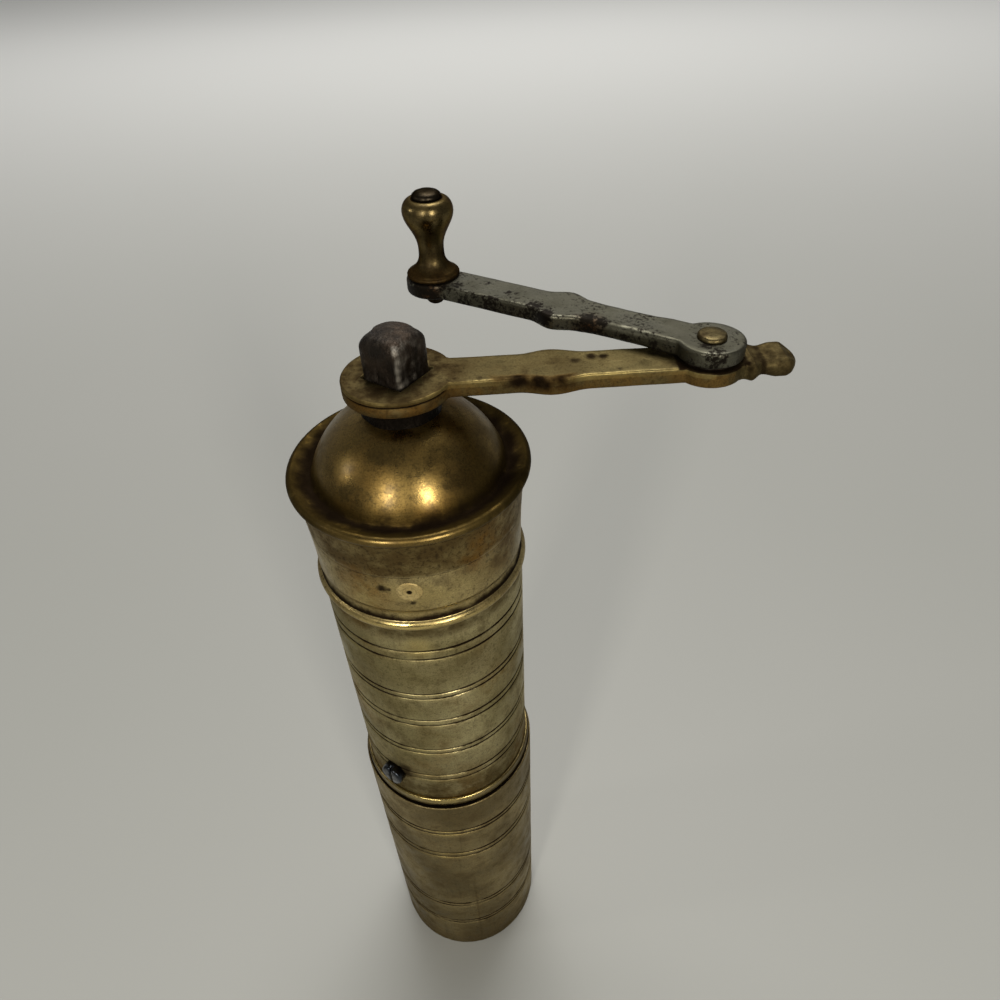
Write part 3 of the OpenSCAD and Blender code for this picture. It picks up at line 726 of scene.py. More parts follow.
def collar_profile():
    bead_r = BARREL_R + BEAD_OUT - BEAD_R
    cove_z = collar_low.z + 2 * BEAD_R + COVE_H / 2
    spread = math.degrees(math.asin(COVE_H / 2 / COVE_ARC_R))
    rim_r = collar_high.x - COLLAR_EDGE
    rim_z = collar_high.z - COLLAR_EDGE
    bead = arc(bead_r, BEAD_Z, BEAD_R, -62, 66, 16)
    profile = [Spot(s.r, s.z, float(s.z < BEAD_Z - 0.9)) for s in bead]
    cove = arc(WAIST_R - COVE_D + COVE_ARC_R, cove_z, COVE_ARC_R, 180 + spread, 180 - spread, 12)
    # dark in the hollow above the bead, darkest next to it: dirt together with painted shade
    profile += [Spot(s.r, s.z, max(0.2, 1 - (s.z - cove[0].z) / 2.4)) for s in cove]
    height = cove_z + COVE_H / 2 + 0.1
    while height < collar_high.z - 1:
        near_line = max(0.0, 1 - abs(height - SCRIBED_Z) / 0.3)
        profile.append(Spot(flare_r(height), height, 0.5 * near_line, 0.08 * near_line))
        height += 0.2 if abs(height - SCRIBED_Z) < 0.6 else 0.5
    profile += arc(rim_r, rim_z, COLLAR_EDGE, 0, 90, 4, grime=0.6)
    profile += wall(COLLAR_BORE_R, collar_high.z, barrel_high.z) + [Spot(COLLAR_BORE_R, barrel_high.z)]
    return profile + [Spot(BARREL_R + FIT, barrel_high.z), Spot(BARREL_R + FIT, collar_low.z + 0.2)]


def bead_highlight(place):
    """1 on the bead's front, facing the camera, where a highlight is painted, and 0 away from it."""
    return ramp(1.2 - abs(place.z - BEAD_Z - 0.3), 0.8) * lit_front(place, 40)


def collar_tarnish(place):
    """Speckled above the scribed line, smoother below it, and none on the bead's front, where its
    highlight is painted.
    """
    above = 0.85 * ramp(place.z - SCRIBED_Z + 0.8 * ripple(place, 4, 6.1), 1.0)
    clouds = 0.35 + 0.6 * ripple(place, 9, 1.9)
    return max(above, clouds) * (1 - bead_highlight(place))


def collar_highlight(place):
    # the wall's front below the line is painted brighter: a painted highlight
    below_line = 0.35 * ramp(SCRIBED_Z - 1 - place.z, 2) * lit_front(place, 45)
    return max(bead_highlight(place), below_line * (0.7 + ripple(place, 7, 3.1)))


def make_collar():
    blot = round_axis(BARREL_R, RIVET_TURN - 0.18, RIVET_Z + 0.6)
    blot_end = round_axis(BARREL_R, RIVET_TURN - 0.24, RIVET_Z + 0.8)
    below = round_axis(BARREL_R, RIVET_TURN + 0.02, RIVET_Z - 3.6)
    bronzed = round_axis(collar_high.x, math.radians(-52), collar_high.z - 8)
    dark_side = round_axis(collar_high.x, math.radians(-38), collar_high.z - 13)
    warm_side = round_axis(BARREL_R, math.radians(-116), RIVET_Z - 1)
    builder = turned(
        collar_profile(),
        dent=tube_dent(0.06, 8.3),
        grime=patches((blot, 1.1, 0.7), (blot_end, 1.7, 0.75), (below, 0.9, 0.8), (dark_side, 7, 0.4)),
        tarnish=collar_tarnish,
        copper=patches((bronzed, 8, 0.7), (dark_side, 8, 0.3), (warm_side, 9, 0.6)),
        polish=collar_highlight,
    )
    dress(new_piece("collar", builder), "barrel", "barrel_brass", collar_brass, "hopper_collar")


def make_collar_rivets():
    """Flush rivets, bent to the collar's wall, each with a punched middle."""
    builder = bmesh.new()
    for turn in (0, math.pi):
        profile = [Spot(0, 0.07, 0.9), Spot(0.45, 0.08, 0.8), Spot(0.75, 0.16, 0.2), Spot(1.3, 0.2)]
        profile += [Spot(1.5, 0.14, 0.35), Spot(1.7, 0.2), Spot(2.3, 0.17), Spot(2.8, 0.1)]
        profile += [Spot(RIVET_R, 0.0, 0.4), Spot(RIVET_R, -1.2)]
        profile += [Spot(1.7, -1.2), Spot(1.7, -4.6), Spot(0, -4.6)]
        head = turned(profile, closed=False, facets=48)
        for corner in head.verts:
            across, up, out = corner.co
            radius = flare_r(RIVET_Z + up) + out
            corner.co = round_axis(radius, RIVET_TURN + turn + across / BARREL_R, RIVET_Z + up)
        mesh = bpy.data.meshes.new("rivet")
        head.to_mesh(mesh)
        head.free()
        builder.from_mesh(mesh)
        bpy.data.meshes.remove(mesh)
    dress(new_piece("collar_rivets", builder), "barrel", "barrel_brass", flush_brass, "bridge_rivets")


# Lid: a rolled edge, a dirty valley and a dome

EDGE_R = 1.3
SHEET_T = 1.2
LID_HOLE_R = 7.25
ROLL_R = lid_high.x - EDGE_R
ROLL_Z = lid_low.z + EDGE_R
DOME_H = lid_high.z - lid_low.z - SHEET_T
DOME_FOOT_R = lid_high.x - 5.5
DOME_ARC_R = (DOME_FOOT_R ** 2 + DOME_H ** 2) / (2 * DOME_H)
DOME_Z = lid_high.z - DOME_ARC_R
INSIDE_R = DOME_ARC_R - SHEET_T
VALLEY_R = 0.9      # round between the valley and the dome
VALLEY_W = 0.3      # from the deepest place to where the brim's slope starts
VALLEY_Z = lid_low.z + SHEET_T - 0.1
VALLEY_RISE = math.degrees(math.asin((VALLEY_Z + VALLEY_R - DOME_Z) / (DOME_ARC_R + VALLEY_R)))
FOOT_R = (DOME_ARC_R + VALLEY_R) * math.cos(math.radians(VALLEY_RISE))
NECK_EDGE = 0.4


def on_dome(radius, lift=0.0):
    """Height of the dome's surface at a distance from the axis."""
    return DOME_Z + math.sqrt((DOME_ARC_R + lift) ** 2 - radius ** 2)


def lid_profile():
    hole = math.degrees(math.acos(LID_HOLE_R / DOME_ARC_R))
    inside_low = math.degrees(math.asin((lid_low.z - DOME_Z) / INSIDE_R))
    inside_hole = math.degrees(math.acos(LID_HOLE_R / INSIDE_R))
    brim_w = ROLL_R - FOOT_R
    slope = ((0.0, VALLEY_Z), (brim_w, ROLL_Z + EDGE_R))
    profile = arc(ROLL_R, ROLL_Z, EDGE_R, -90, 84, 16)
    profile += [Spot(FOOT_R + away, eased(slope, away)) for away in (brim_w, VALLEY_W)]
    profile += arc(FOOT_R, VALLEY_Z + VALLEY_R, VALLEY_R, 270, 180 + VALLEY_RISE, 6)
    profile += arc(0, DOME_Z, DOME_ARC_R, VALLEY_RISE + 1.2, hole, 48)
    return profile + arc(0, DOME_Z, INSIDE_R, inside_hole, inside_low, 24)


def outside_lid(place):
    from_middle = Vector((from_axis(place), place.z - DOME_Z)).length
    return place.z > lid_low.z + 0.5 and from_middle > INSIDE_R + 0.3


def lid_dirt_and_shade(place):
    """Dirt deepest in the valley at the dome's foot, thinning raggedly to both sides, with a painted dark
    reflection up the dome's foot, painted shade round the crown under the hub, and none on the roll's
    front, where a highlight is painted.
    """
    if not outside_lid(place):
        return 0.0
    from_foot = from_axis(place) - FOOT_R
    # dirt in the valley and on the brim, and up the dome's foot a painted dark reflection
    thick = max(0.08, 1.1 - 0.55 * from_foot) if from_foot > 0 else 1.1 + 0.6 * from_foot
    if from_foot > ROLL_R - FOOT_R:
        # the roll's front is left clean as a painted highlight
        thick *= 1 - lit_front(place, 55)
    # painted shade round the crown, under the hub
    shade_under_hub = 0.5 - 0.22 * (from_axis(place) - neck_high.x)
    return max(0.0, thick, shade_under_hub) * (0.95 + 0.25 * ripple(place, 2.2, 3.7))


def lid_tarnish(place):
    away = from_axis(place)
    # less tarnishing on the roll's front, where a highlight is painted
    painted_shine = 0.8 * ramp(away - ROLL_R, 0.6) * lit_front(place, 50)
    on_brim = 1.6 * (ramp(away - FOOT_R + 3, 3) - painted_shine)
    # the dome's right side painted darker: a painted dark reflection
    right_shade = 0.5 * ramp(place.x - 3, 12)
    return max(on_brim, 0.15 + right_shade + 0.8 * ripple(place, 11, 4.4))


def lid_copper(place):
    return 0.5 * ripple(place, 13, 8.8) * ramp(FOOT_R - from_axis(place), 2)


def lid_roll_highlight(place):
    # a highlight painted on the roll's front, facing the camera
    on_roll = ramp(from_axis(place) - ROLL_R - 0.2, 0.5)
    return 0.15 * on_roll * lit_front(place, 50) * outside_lid(place)


def make_lid():
    builder = turned(
        lid_profile(), dent=tube_dent(0.05, 12.4),
        grime=lid_dirt_and_shade, tarnish=lid_tarnish, copper=lid_copper, polish=lid_roll_highlight,
    )
    dress(new_piece("lid", builder), "lid", "lid_brass", lid_brass, "dome_lid")


def make_neck():
    """Greasy iron ring round the shaft's hole, lumpy where it meets the dome."""
    outer = neck_high.x
    profile = [Spot(LID_HOLE_R, on_dome(LID_HOLE_R, 0.05)), Spot(LID_HOLE_R, neck_high.z - 0.2)]
    profile += [Spot(LID_HOLE_R + 0.2, neck_high.z)]
    profile += arc(outer - NECK_EDGE, neck_high.z - NECK_EDGE, NECK_EDGE, 90, 0, 5)
    profile += [Spot(outer, on_dome(outer) + 0.3), Spot(outer + 0.3, on_dome(outer + 0.3, 0.05))]
    profile += [Spot(outer + 0.4, on_dome(outer + 0.4, -0.1))]

    def lumps(place):
        return (0.2 * ripple(place, 3.5, 2.2) - 0.1) * (from_axis(place) > outer - 0.3)
    builder = turned(profile, dent=lumps)
    dress(new_piece("lid_ring", builder), "lid", "forged_iron", black_iron, "lid_neck")


# Shaft: a round rod and journal, and a square shank forged by hand above the hub

JOURNAL_R = shaft_high.x
ROD_R = 4.5
ROD_EDGE = 0.3
JOURNAL_H = 12.0
SHANK_W = 10.4
SHANK_GAP = 0.15   # between the shank and the hub's square hole
SHANK_TURN = math.radians(54)
SHANK_EDGE = 2.8   # round at its top edge
SHANK_CROWN = 0.4  # how far the top bulges inside that edge
SHANK_ROUND = 6.0  # radius that the section tends to, up that edge
SQUARENESS = 7     # power of the rounded square
SHANK_HIGHLIGHT_TURN = math.radians(-79)   # a highlight painted down the front corner, facing the camera


def square_r(angle):
    """Distance from the axis to the side of a square with rounded corners."""
    local = angle - SHANK_TURN
    flat = abs(math.cos(local)) ** SQUARENESS + abs(math.sin(local)) ** SQUARENESS
    return min(JOURNAL_R, SHANK_W / 2 / flat ** (1 / SQUARENESS))


def hammered(place, flatness):
    """How deep hammer blows and upright strokes have sunk a place of the shank."""
    strokes = Vector((place.x, place.y, place.z / 5))
    return min(0.0, 0.5 * ripple(place, 5, 5.5) + 0.3 * ripple(strokes, 1.7, 9.1) - 0.1) * flatness


def shank_painted_light(angle):
    """How much painted light the shank gets: a highlight painted down the front corner, and the face to
    its right painted lighter as if lit.
    """
    past = (angle - SHANK_HIGHLIGHT_TURN + math.pi) % math.tau - math.pi
    stripe = 0.55 * ramp(1.4 - 1.4 * abs(past) / 0.18, 1.0)
    right_face = 0.2 * ramp(past - 0.12, 0.1) * ramp(1.3 - past, 0.3)
    return max(stripe, right_face)


def make_shaft():
    """Rings at stations of (height, radius or None on the shank, distance inward from its side)."""
    facets = 144
    builder = bmesh.new()
    painted_shine = builder.verts.layers.float.new("painted_shine")
    hub_top = HUB_Z + ARM_T
    shoulder = shaft_high.z - SHANK_CROWN - SHANK_EDGE
    flat_top = SHANK_W / 2 - SHANK_EDGE
    stations = [(shaft_low.z, ROD_R - ROD_EDGE, 0), (shaft_low.z + ROD_EDGE, ROD_R, 0)]
    stations += [(HUB_Z - JOURNAL_H, ROD_R, 0), (HUB_Z - JOURNAL_H, JOURNAL_R, 0), (HUB_Z, JOURNAL_R, 0)]
    stations += [(height, None, 0) for height in spaced(HUB_Z, shoulder, 0.4)]
    for lean in range(10, 91, 10):
        a = math.radians(lean)
        stations.append((shoulder + SHANK_EDGE * math.sin(a), None, SHANK_EDGE * (1 - math.cos(a))))
    for share in (0.25, 0.5, 0.75):
        bulge = SHANK_CROWN * (1 - (1 - share) ** 2)
        stations.append((shoulder + SHANK_EDGE + bulge, None, SHANK_EDGE + share * flat_top))
    rings = [[builder.verts.new((0, 0, shaft_low.z))]]
    for height, radius, inward in stations:
        ring = []
        for step in range(facets):
            angle = math.tau * step / facets
            side = square_r(angle)
            rounded = ramp(inward, 0.6 * SHANK_EDGE)
            place = round_axis(radius or side + (SHANK_ROUND - side) * rounded - inward, angle, height)
            painted_lit = 0.0
            if radius is None and height > hub_top:
                flatness = (0.35 + 0.65 * ramp(JOURNAL_R - side, 1.2)) * ramp(height - hub_top, 1.5)
                place += outward(place) * hammered(place, flatness)
                uneven = 0.5 + 1.1 * ripple(place, 1.5, 1.3)
                # painted light: the highlight stripe and the lighter right face
                painted_lit = shank_painted_light(angle) * uneven * ramp(1.4 - inward, 0.8)
            corner = builder.verts.new(place)
            corner[painted_shine] = painted_lit
            ring.append(corner)
        rings.append(ring)
    rings.append([builder.verts.new((0, 0, shaft_high.z))])
    for first, second in zip(rings, rings[1:]):
        bridge(builder, first, second)
    dress(new_piece("shaft_forged", builder), "shaft", "forged_iron", iron, "shaft")


# Crank arms: flat bars whose outline and edge are swept into a closed mesh

EDGE_STEPS = 4


def bar(name, half_width, stations, section, dent, **paints):
    """A closed bar along X: half_width gives its outline, and section the (inset, height) up its edge."""
    builder = bmesh.new()
    layers = {paint: builder.verts.layers.float.new(paint) for paint in PAINTS}
    far = [Vector((x, half_width(x), 0)) for x in stations]
    near = [Vector((p.x, -p.y, 0)) for p in reversed(far[1:-1])]
    outline = far + near
    count = len(outline)
    last = len(stations) - 1

    def add(place):
        corner = builder.verts.new(place + dent(place))
        for paint, value_at in paints.items():
            corner[layers[paint]] = value_at(place)
        return corner

    edges = [section(p.x) for p in outline]
    rings = []
    for level in range(len(edges[0])):
        ring = []
        for step, place in enumerate(outline):
            along = outline[(step + 1) % count] - outline[step - 1]
            out = Vector((-along.y, along.x, 0)).normalized()
            inset, height = edges[step][level]
            ring.append(add(place - out * inset + Vector((0, 0, height))))
        rings.append(ring)
    for first, second in zip(rings, rings[1:]):
        bridge(builder, first, second)
    for ring in (rings[0], rings[-1]):
        ends = ring[0], ring[last]
        before = ring
        for share in (0.85, 0.7, 0.5, 0.25):
            inner = [c if c in ends else add(Vector((c.co.x, c.co.y * share, c.co.z))) for c in ring]
            bridge(builder, before, inner)
            before = inner
        spine = [ends[0]] + [add(Vector((c.co.x, 0, c.co.z))) for c in ring[1:last]] + [ends[1]]
        bridge(builder, before, spine + spine[last - 1:0:-1])
    return new_piece(name, builder)


def rounded_end(middle, radius, start, end, count=24):
    """X places on a round end, close together where it is steep."""
    turns = [math.radians(start + (end - start) * i / count) for i in range(count + 1)]
    return [middle + radius * math.cos(turn) for turn in turns]


def swelling(x, middle, half_length, height):
    """A smooth bump on a bar's side."""
    away = abs(x - middle) / half_length
    return height * (1 + math.cos(math.pi * away)) / 2 if away < 1 else 0.0


def disc(x, middle, radius):
    return math.sqrt(max(0.0, radius ** 2 - (x - middle) ** 2))


def stains_at(rows):
    """A paint of patches from rows of x, y, z, radius and strength."""
    return patches(*((Vector(row[:3]), *row[3:]) for row in rows))


def edge_section(low, high, radius, groove=0.0):
    """(inset, height) up a bar's edge, rounded at both rims, with a groove round it above the middle."""
    rims = [(radius * (1 - math.sin(a)), radius * (1 - math.cos(a)))
            for a in (math.pi / 2 * i / EDGE_STEPS for i in range(EDGE_STEPS + 1))]
    straight = high - low - 2 * radius
    section = [(inset, low + rise) for inset, rise in rims]
    for inset, share in ((0.0, 0.63), (groove, 0.71), (groove, 0.79), (0.0, 0.87)):
        section.append((inset, low + radius + share * straight))
    return section + [(inset, high - rise) for inset, rise in reversed(rims)]


LOWER_LEN = pivot.x
BOSS_R = 7.3
LOWER_KNOP = 32.0
RIVET_SHANK_R = 2.0
# Half width, slimming and edge round of the finial, each by distance past the pivot
FINIAL = ((5.4, 4.9), (6.6, 4.5), (8.2, 5.4), (10.6, 4.0), (14.0, 4.5), (18.5, 4.8))
FINIAL_SLIM = ((5.4, 0.0), (7.6, -0.35), (10.6, 0.2), (13.5, -0.35), (16.0, -0.35), (18.0, 0.6))
FINIAL_SOFT = ((5.4, 0.5), (8.2, 1.3), (10.6, 1.2), (14.0, 1.6), (16.0, 1.6), (18.0, 0.9))
FINIAL_LEN = 18.0
FINIAL_ROUND = 3.2
HUB_GROOVE = 0.35
HUB_END = 10.2      # where the bar leaves the hub


def lower_half_width(x):
    taper = 5.2 - 0.6 * max(0.0, x) / LOWER_LEN
    knop = swelling(x, LOWER_KNOP, 7.5, 1.45)
    past = x - LOWER_LEN
    if past > FINIAL[0][0]:
        corner = min(1.0, max(0.0, FINIAL_LEN - past) / FINIAL_ROUND)
        return eased(FINIAL, past) * math.sqrt(1 - (1 - corner) ** 2)
    return max(disc(x, 0, HUB_R), (taper + knop) * (x > 0), disc(x, LOWER_LEN, BOSS_R))


def lower_section(x):
    past = x - LOWER_LEN
    if past < FINIAL[0][0]:
        return edge_section(0.0, ARM_T, 0.45, HUB_GROOVE * (x < HUB_END))
    slim = eased(FINIAL_SLIM, past)
    return edge_section(slim, ARM_T - slim, eased(FINIAL_SOFT, past))


lower_stains = stains_at((
    (22.3, -0.6, ARM_T, 1.2, 0.75), (17, -3.9, ARM_T, 1.2, 0.75), (36.8, 0.8, ARM_T, 1.9, 0.75),
    (40.4, 2.4, ARM_T, 1.9, 0.75), (42.8, 2.1, ARM_T, 1.6, 0.75), (45.5, -3.1, ARM_T, 1.1, 0.75),
    (32, -6.4, 2.2, 1.8, 0.5), (58, -1, ARM_T, 4.0, 0.4),
))


def near_edge_stain(place):
    """A ragged brown stain along the near edge, about the knop."""
    along = 1 - abs(place.x - 28.5) / 10.5
    across = 1 - (lower_half_width(place.x) + place.y) / 1.9
    up = place.z / ARM_T
    return ramp(2.5 * min(along, across, up), 1.0) * (0.8 + 0.55 * ripple(place, 2.2, 3.3))


def lower_grime(place):
    on_top = place.z > ARM_T - 0.3
    joint = 0.8 if disc(place.x, LOWER_LEN, BOSS_R) and on_top else 0.0
    in_groove = 0.9 if place.x < HUB_END and 0.64 < place.z / ARM_T < 0.74 else 0.0
    round_shank = 0.5 - 0.09 * max(0.0, from_axis(place) - 6.8) if on_top else 0.0
    neck = 0.6 * ramp(1 - abs(place.x - LOWER_LEN - 10.4) / 0.9, 0.5)
    finial = 0.35 * (place.x > LOWER_LEN + 4) * (1 + 0.6 * ripple(place, 2.5, 4.9))
    edge = 0.8 * near_edge_stain(place)
    return max(lower_stains(place), edge, in_groove, joint, round_shank, neck, finial)


def lower_tarnish(place):
    side = 0.55 if place.z < 0.8 * ARM_T else 0.0
    past_pivot = 0.6 * (place.x > LOWER_LEN + 4)
    hub = 0.9 * ramp(HUB_END + 9 - place.x, 8)
    return max(near_edge_stain(place), side, past_pivot, hub, 0.8 * ripple(place, 9, 2.1))


def lower_copper(place):
    side = 0.3 if place.z < 0.8 * ARM_T else 0.0
    return max(0.5 * near_edge_stain(place), side * (place.x < LOWER_LEN + 4))


def lower_rim_polish_and_glint(place):
    # bright along the top rim: worn edges together with painted edge highlights
    from_rim = lower_half_width(place.x) - abs(place.y)
    on_rim = from_rim < 0.4 and 0.6 * ARM_T < place.z and place.x < LOWER_LEN
    return (0.25 + 0.4 * ripple(place, 6, 7.7)) * on_rim * (1 - near_edge_stain(place))


def lower_dent(place):
    return Vector((0, 0.06 * ripple(place, 7, 2.6), 0.05 * ripple(place, 5, 6.6) - 0.02))


def make_lower_arm():
    tip = LOWER_LEN + FINIAL_LEN
    stations = rounded_end(0, HUB_R, 180, 28)[:-1] + spaced(HUB_END + 0.15, LOWER_LEN - 6.0, 0.5)
    stations += rounded_end(LOWER_LEN, BOSS_R, 145, 43)
    stations += spaced(LOWER_LEN + 5.5, tip - FINIAL_ROUND, 0.28)
    stations += [tip - FINIAL_ROUND * (1 - math.sin(math.radians(a))) for a in range(10, 91, 10)]
    piece = bar(
        "crank_lower", lower_half_width, stations, lower_section, lower_dent,
        grime=lower_grime, tarnish=lower_tarnish, copper=lower_copper, polish=lower_rim_polish_and_glint,
    )
    piece.data.transform(Matrix.Translation((0, 0, HUB_Z * MM)))
    hole = SHANK_W / 2 + SHANK_GAP
    bore(piece, box_cutter((2 * hole, 2 * hole, 3 * ARM_T), HUB_Z, SHANK_TURN))
    bore(piece, round_cutter(RIVET_SHANK_R + FIT, HUB_Z - 2, HUB_Z + ARM_T + 2, LOWER_LEN))
    dress(piece, "crank", "arm_brass", arm_brass, "lower_arm")


UPPER_PIVOT_R = 7.0
UPPER_KNOB_R = 6.6
UPPER_KNOP = 34.0
UPPER_BEVEL = ((0.0, 0.7), (9.0, 0.7), (14.0, 1.3), (24.0, 1.3), (29.0, 0.7))   # edge round along the bar
PIN_R = 1.7
TURNING_GAP = 0.06   # round a pin that something turns on
RUST_SPOT = Vector((25.5, 4.6, 1.6))


def upper_half_width(x):
    taper = 4.35 + 0.45 * max(0.0, x) / UPPER_LEN
    knop = swelling(x, UPPER_KNOP, 6.0, 1.75)
    bar_width = (taper + knop) * (0 < x < UPPER_LEN)
    return max(disc(x, 0, UPPER_PIVOT_R), bar_width, disc(x, UPPER_LEN, UPPER_KNOB_R))


def upper_section(x):
    return edge_section(0, ARM_T, eased(UPPER_BEVEL, x))


upper_stains = stains_at((
    (35.5, 5.6, 2.4, 2.4, 1.0), (26.2, 3.2, ARM_T, 2.6, 0.6), (22.5, 3.4, ARM_T, 2.0, 0.5),
    (38.9, 3.0, ARM_T, 2.4, 0.5), (60.4, 2.7, ARM_T, 2.4, 0.5), (0, 3.6, ARM_T, 1.6, 0.6),
    (-3, 5.5, 1.8, 3.0, 0.5), (47, 0.5, ARM_T, 1.4, 0.4), (54, -1.5, ARM_T, 1.2, 0.4),
))


def upper_grime(place):
    """Black along the near side from the knop to the knob, and round the knob."""
    near = ramp(place.y - 3.2, 1.2) * (0.12 * ramp(place.x - 36, 5) + 0.3 * ramp(place.x - 44, 14))
    shade = near * (1 + 1.2 * ripple(place, 3, 2.9))
    low_side = 0.15 if place.y > 3.5 and place.z < 0.6 * ARM_T else 0.0
    at_knob = 0.5 - 0.06 * abs(place.x - UPPER_LEN) if place.x > UPPER_LEN - 7 else 0.0
    return max(upper_stains(place), shade, low_side, at_knob)


def upper_rust(place):
    return max(0.0, 1.2 - (place - RUST_SPOT).length / 4.0, 0.9 * ramp(place.x - UPPER_LEN + 7, 3))


def upper_dent(place):
    sunk = 0.03 if place.z > 1 else 0.0
    return Vector((0, 0.08 * ripple(place, 6, 1.6), 0.06 * ripple(place, 6, 4.6) - sunk))


def make_upper_arm():
    stations = rounded_end(0, UPPER_PIVOT_R, 180, 38)[:-1] + spaced(5.55, UPPER_LEN - 4.7, 0.5)
    stations += rounded_end(UPPER_LEN, UPPER_KNOB_R, 134, 0)
    piece = bar(
        "crank_upper", upper_half_width, stations, upper_section, upper_dent,
        grime=upper_grime, tarnish=upper_rust,
    )
    bore(piece, round_cutter(RIVET_SHANK_R + TURNING_GAP, -2, ARM_T + 2))
    bore(piece, round_cutter(PIN_R + FIT, -2, ARM_T + 2, UPPER_LEN))
    to_pivot = Matrix.Translation((pivot.x * MM, pivot.y * MM, UPPER_Z * MM))
    piece.data.transform(to_pivot @ Matrix.Rotation(UPPER_TURN, 4, "Z"))
    dress(piece, "arm", "arm_steel", arm_steel, "upper_arm")


# Rivet, knob, pin and screws

def hammered_head(radius, height, base, way=1, flat=0.35):
    """Spots from a head's seat to its top, flattened by a hammer."""
    spots = [Spot(radius, base, 0.8), Spot(radius, base + way * height * 0.25, 0.3)]
    for angle in (20, 40, 60, 75):
        share = math.sin(math.radians(angle))
        reach_in = flat + (1 - flat) * math.cos(math.radians(angle))
        spots.append(Spot(radius * reach_in, base + way * height * (0.25 + 0.75 * share)))
    return spots + [Spot(radius * flat * 0.5, base + way * height), Spot(0, base + way * height * 0.97)]


def make_pivot_rivet():
    radius = rivet_high.x - pivot.x
    head = 1.0
    low = rivet_low.z + head
    high = rivet_high.z - head
    profile = list(reversed(hammered_head(radius, head, low, way=-1, flat=0.8)))
    profile += [Spot(RIVET_SHANK_R, low), Spot(RIVET_SHANK_R, high)]
    profile += hammered_head(radius, head, high, flat=0.8)

    def lumps(place):
        return 0.12 * ripple(place, 2.2, 7.7) * (from_axis(place) > RIVET_SHANK_R + 0.1)

    def grime(place):
        return 0.25 + 0.6 * ripple(place, 1.6, 2.4)
    builder = turned(profile, closed=False, dent=lumps, facets=56, grime=grime)
    move(builder, pivot.x, pivot.y, 0)
    dress(new_piece("fold_rivet", builder), "crank", "arm_brass", rivet_brass, "pivot_rivet")


KNOB_FOOT_R = 6.3
KNOB_NECK_R = 3.0
KNOB_HEAD_R = 5.9
KNOB_TOP_R = 3.8
KNOB_NECK_UP = 6.3
KNOB_HEAD_UP = 15.2
KNOB_RIM = 0.6      # round of the foot's rim


def knob_r(up):
    """Radius of the knob at a height between its foot's rim and its head's widest part."""
    if up < KNOB_NECK_UP:
        left = 1 - (up - 2 * KNOB_RIM) / (KNOB_NECK_UP - 2 * KNOB_RIM)
        return KNOB_NECK_R + (KNOB_FOOT_R - 0.4 - KNOB_NECK_R) * left ** 3
    share = ((up - KNOB_NECK_UP) / (KNOB_HEAD_UP - KNOB_NECK_UP)) ** 1.2
    return KNOB_NECK_R + (KNOB_HEAD_R - KNOB_NECK_R) * (1 - math.cos(math.pi * share)) / 2


def make_knob():
    tall = knob_high.z - knob_low.z
    base = knob_low.z
    bore_r = PIN_R + TURNING_GAP
    profile = [Spot(bore_r, base), Spot(KNOB_FOOT_R - KNOB_RIM, base, 0.4)]
    profile += arc(KNOB_FOOT_R - KNOB_RIM, base + KNOB_RIM, KNOB_RIM, -70, 70, 8)
    profile += [Spot(knob_r(up), base + up) for up in spaced(2 * KNOB_RIM, KNOB_HEAD_UP, 0.4)]
    for angle in range(10, 91, 10):
        share = math.radians(angle)
        height = KNOB_HEAD_UP + (tall - KNOB_HEAD_UP) * math.sin(share)
        profile.append(Spot(KNOB_TOP_R + (KNOB_HEAD_R - KNOB_TOP_R) * math.cos(share), base + height))
    profile += [Spot(KNOB_TOP_R - 0.2, base + tall - 0.05, 0.9), Spot(bore_r, base + tall, 0.9)]

    def tarnish(place):
        """Darkest at the foot and round the top, worn on the head."""
        up = place.z - base
        foot = 0.9 * ramp(0.55 * tall - up, 4)
        top = 0.6 * ramp(up - 0.93 * tall, 1)
        return max(foot, top, 0.35 + 0.6 * ripple(place, 4, 2.3))

    def copper(place):
        return 0.2 * ramp(base + 3 - place.z, 2)

    def grime(place):
        return 0.5 * ramp(base + 2.6 - place.z, 1.6) * (1 + 0.6 * ripple(place, 1.5, 5.7))
    builder = turned(profile, facets=96, grime=grime, tarnish=tarnish, copper=copper)
    move(builder, knob_axis.x, knob_axis.y, 0)
    dress(new_piece("knob_turned", builder), "knob", "knob_brass", knob_brass, "knob")


def make_knob_pin():
    head_r = 3.4
    head_h = 1.7
    tail_r = 2.6
    seat = pin_high.z - head_h
    tail = UPPER_Z
    profile = list(reversed(hammered_head(tail_r, tail - pin_low.z, tail, way=-1)))
    profile += [Spot(PIN_R, tail), Spot(PIN_R, seat)] + hammered_head(head_r, head_h, seat, flat=0.2)
    builder = turned(profile, closed=False, facets=56)
    move(builder, knob_axis.x, knob_axis.y, 0)
    dress(new_piece("knob_pin_peened", builder), "arm", "forged_iron", pin_brass, "knob_pin")


SLOT_W = 0.9


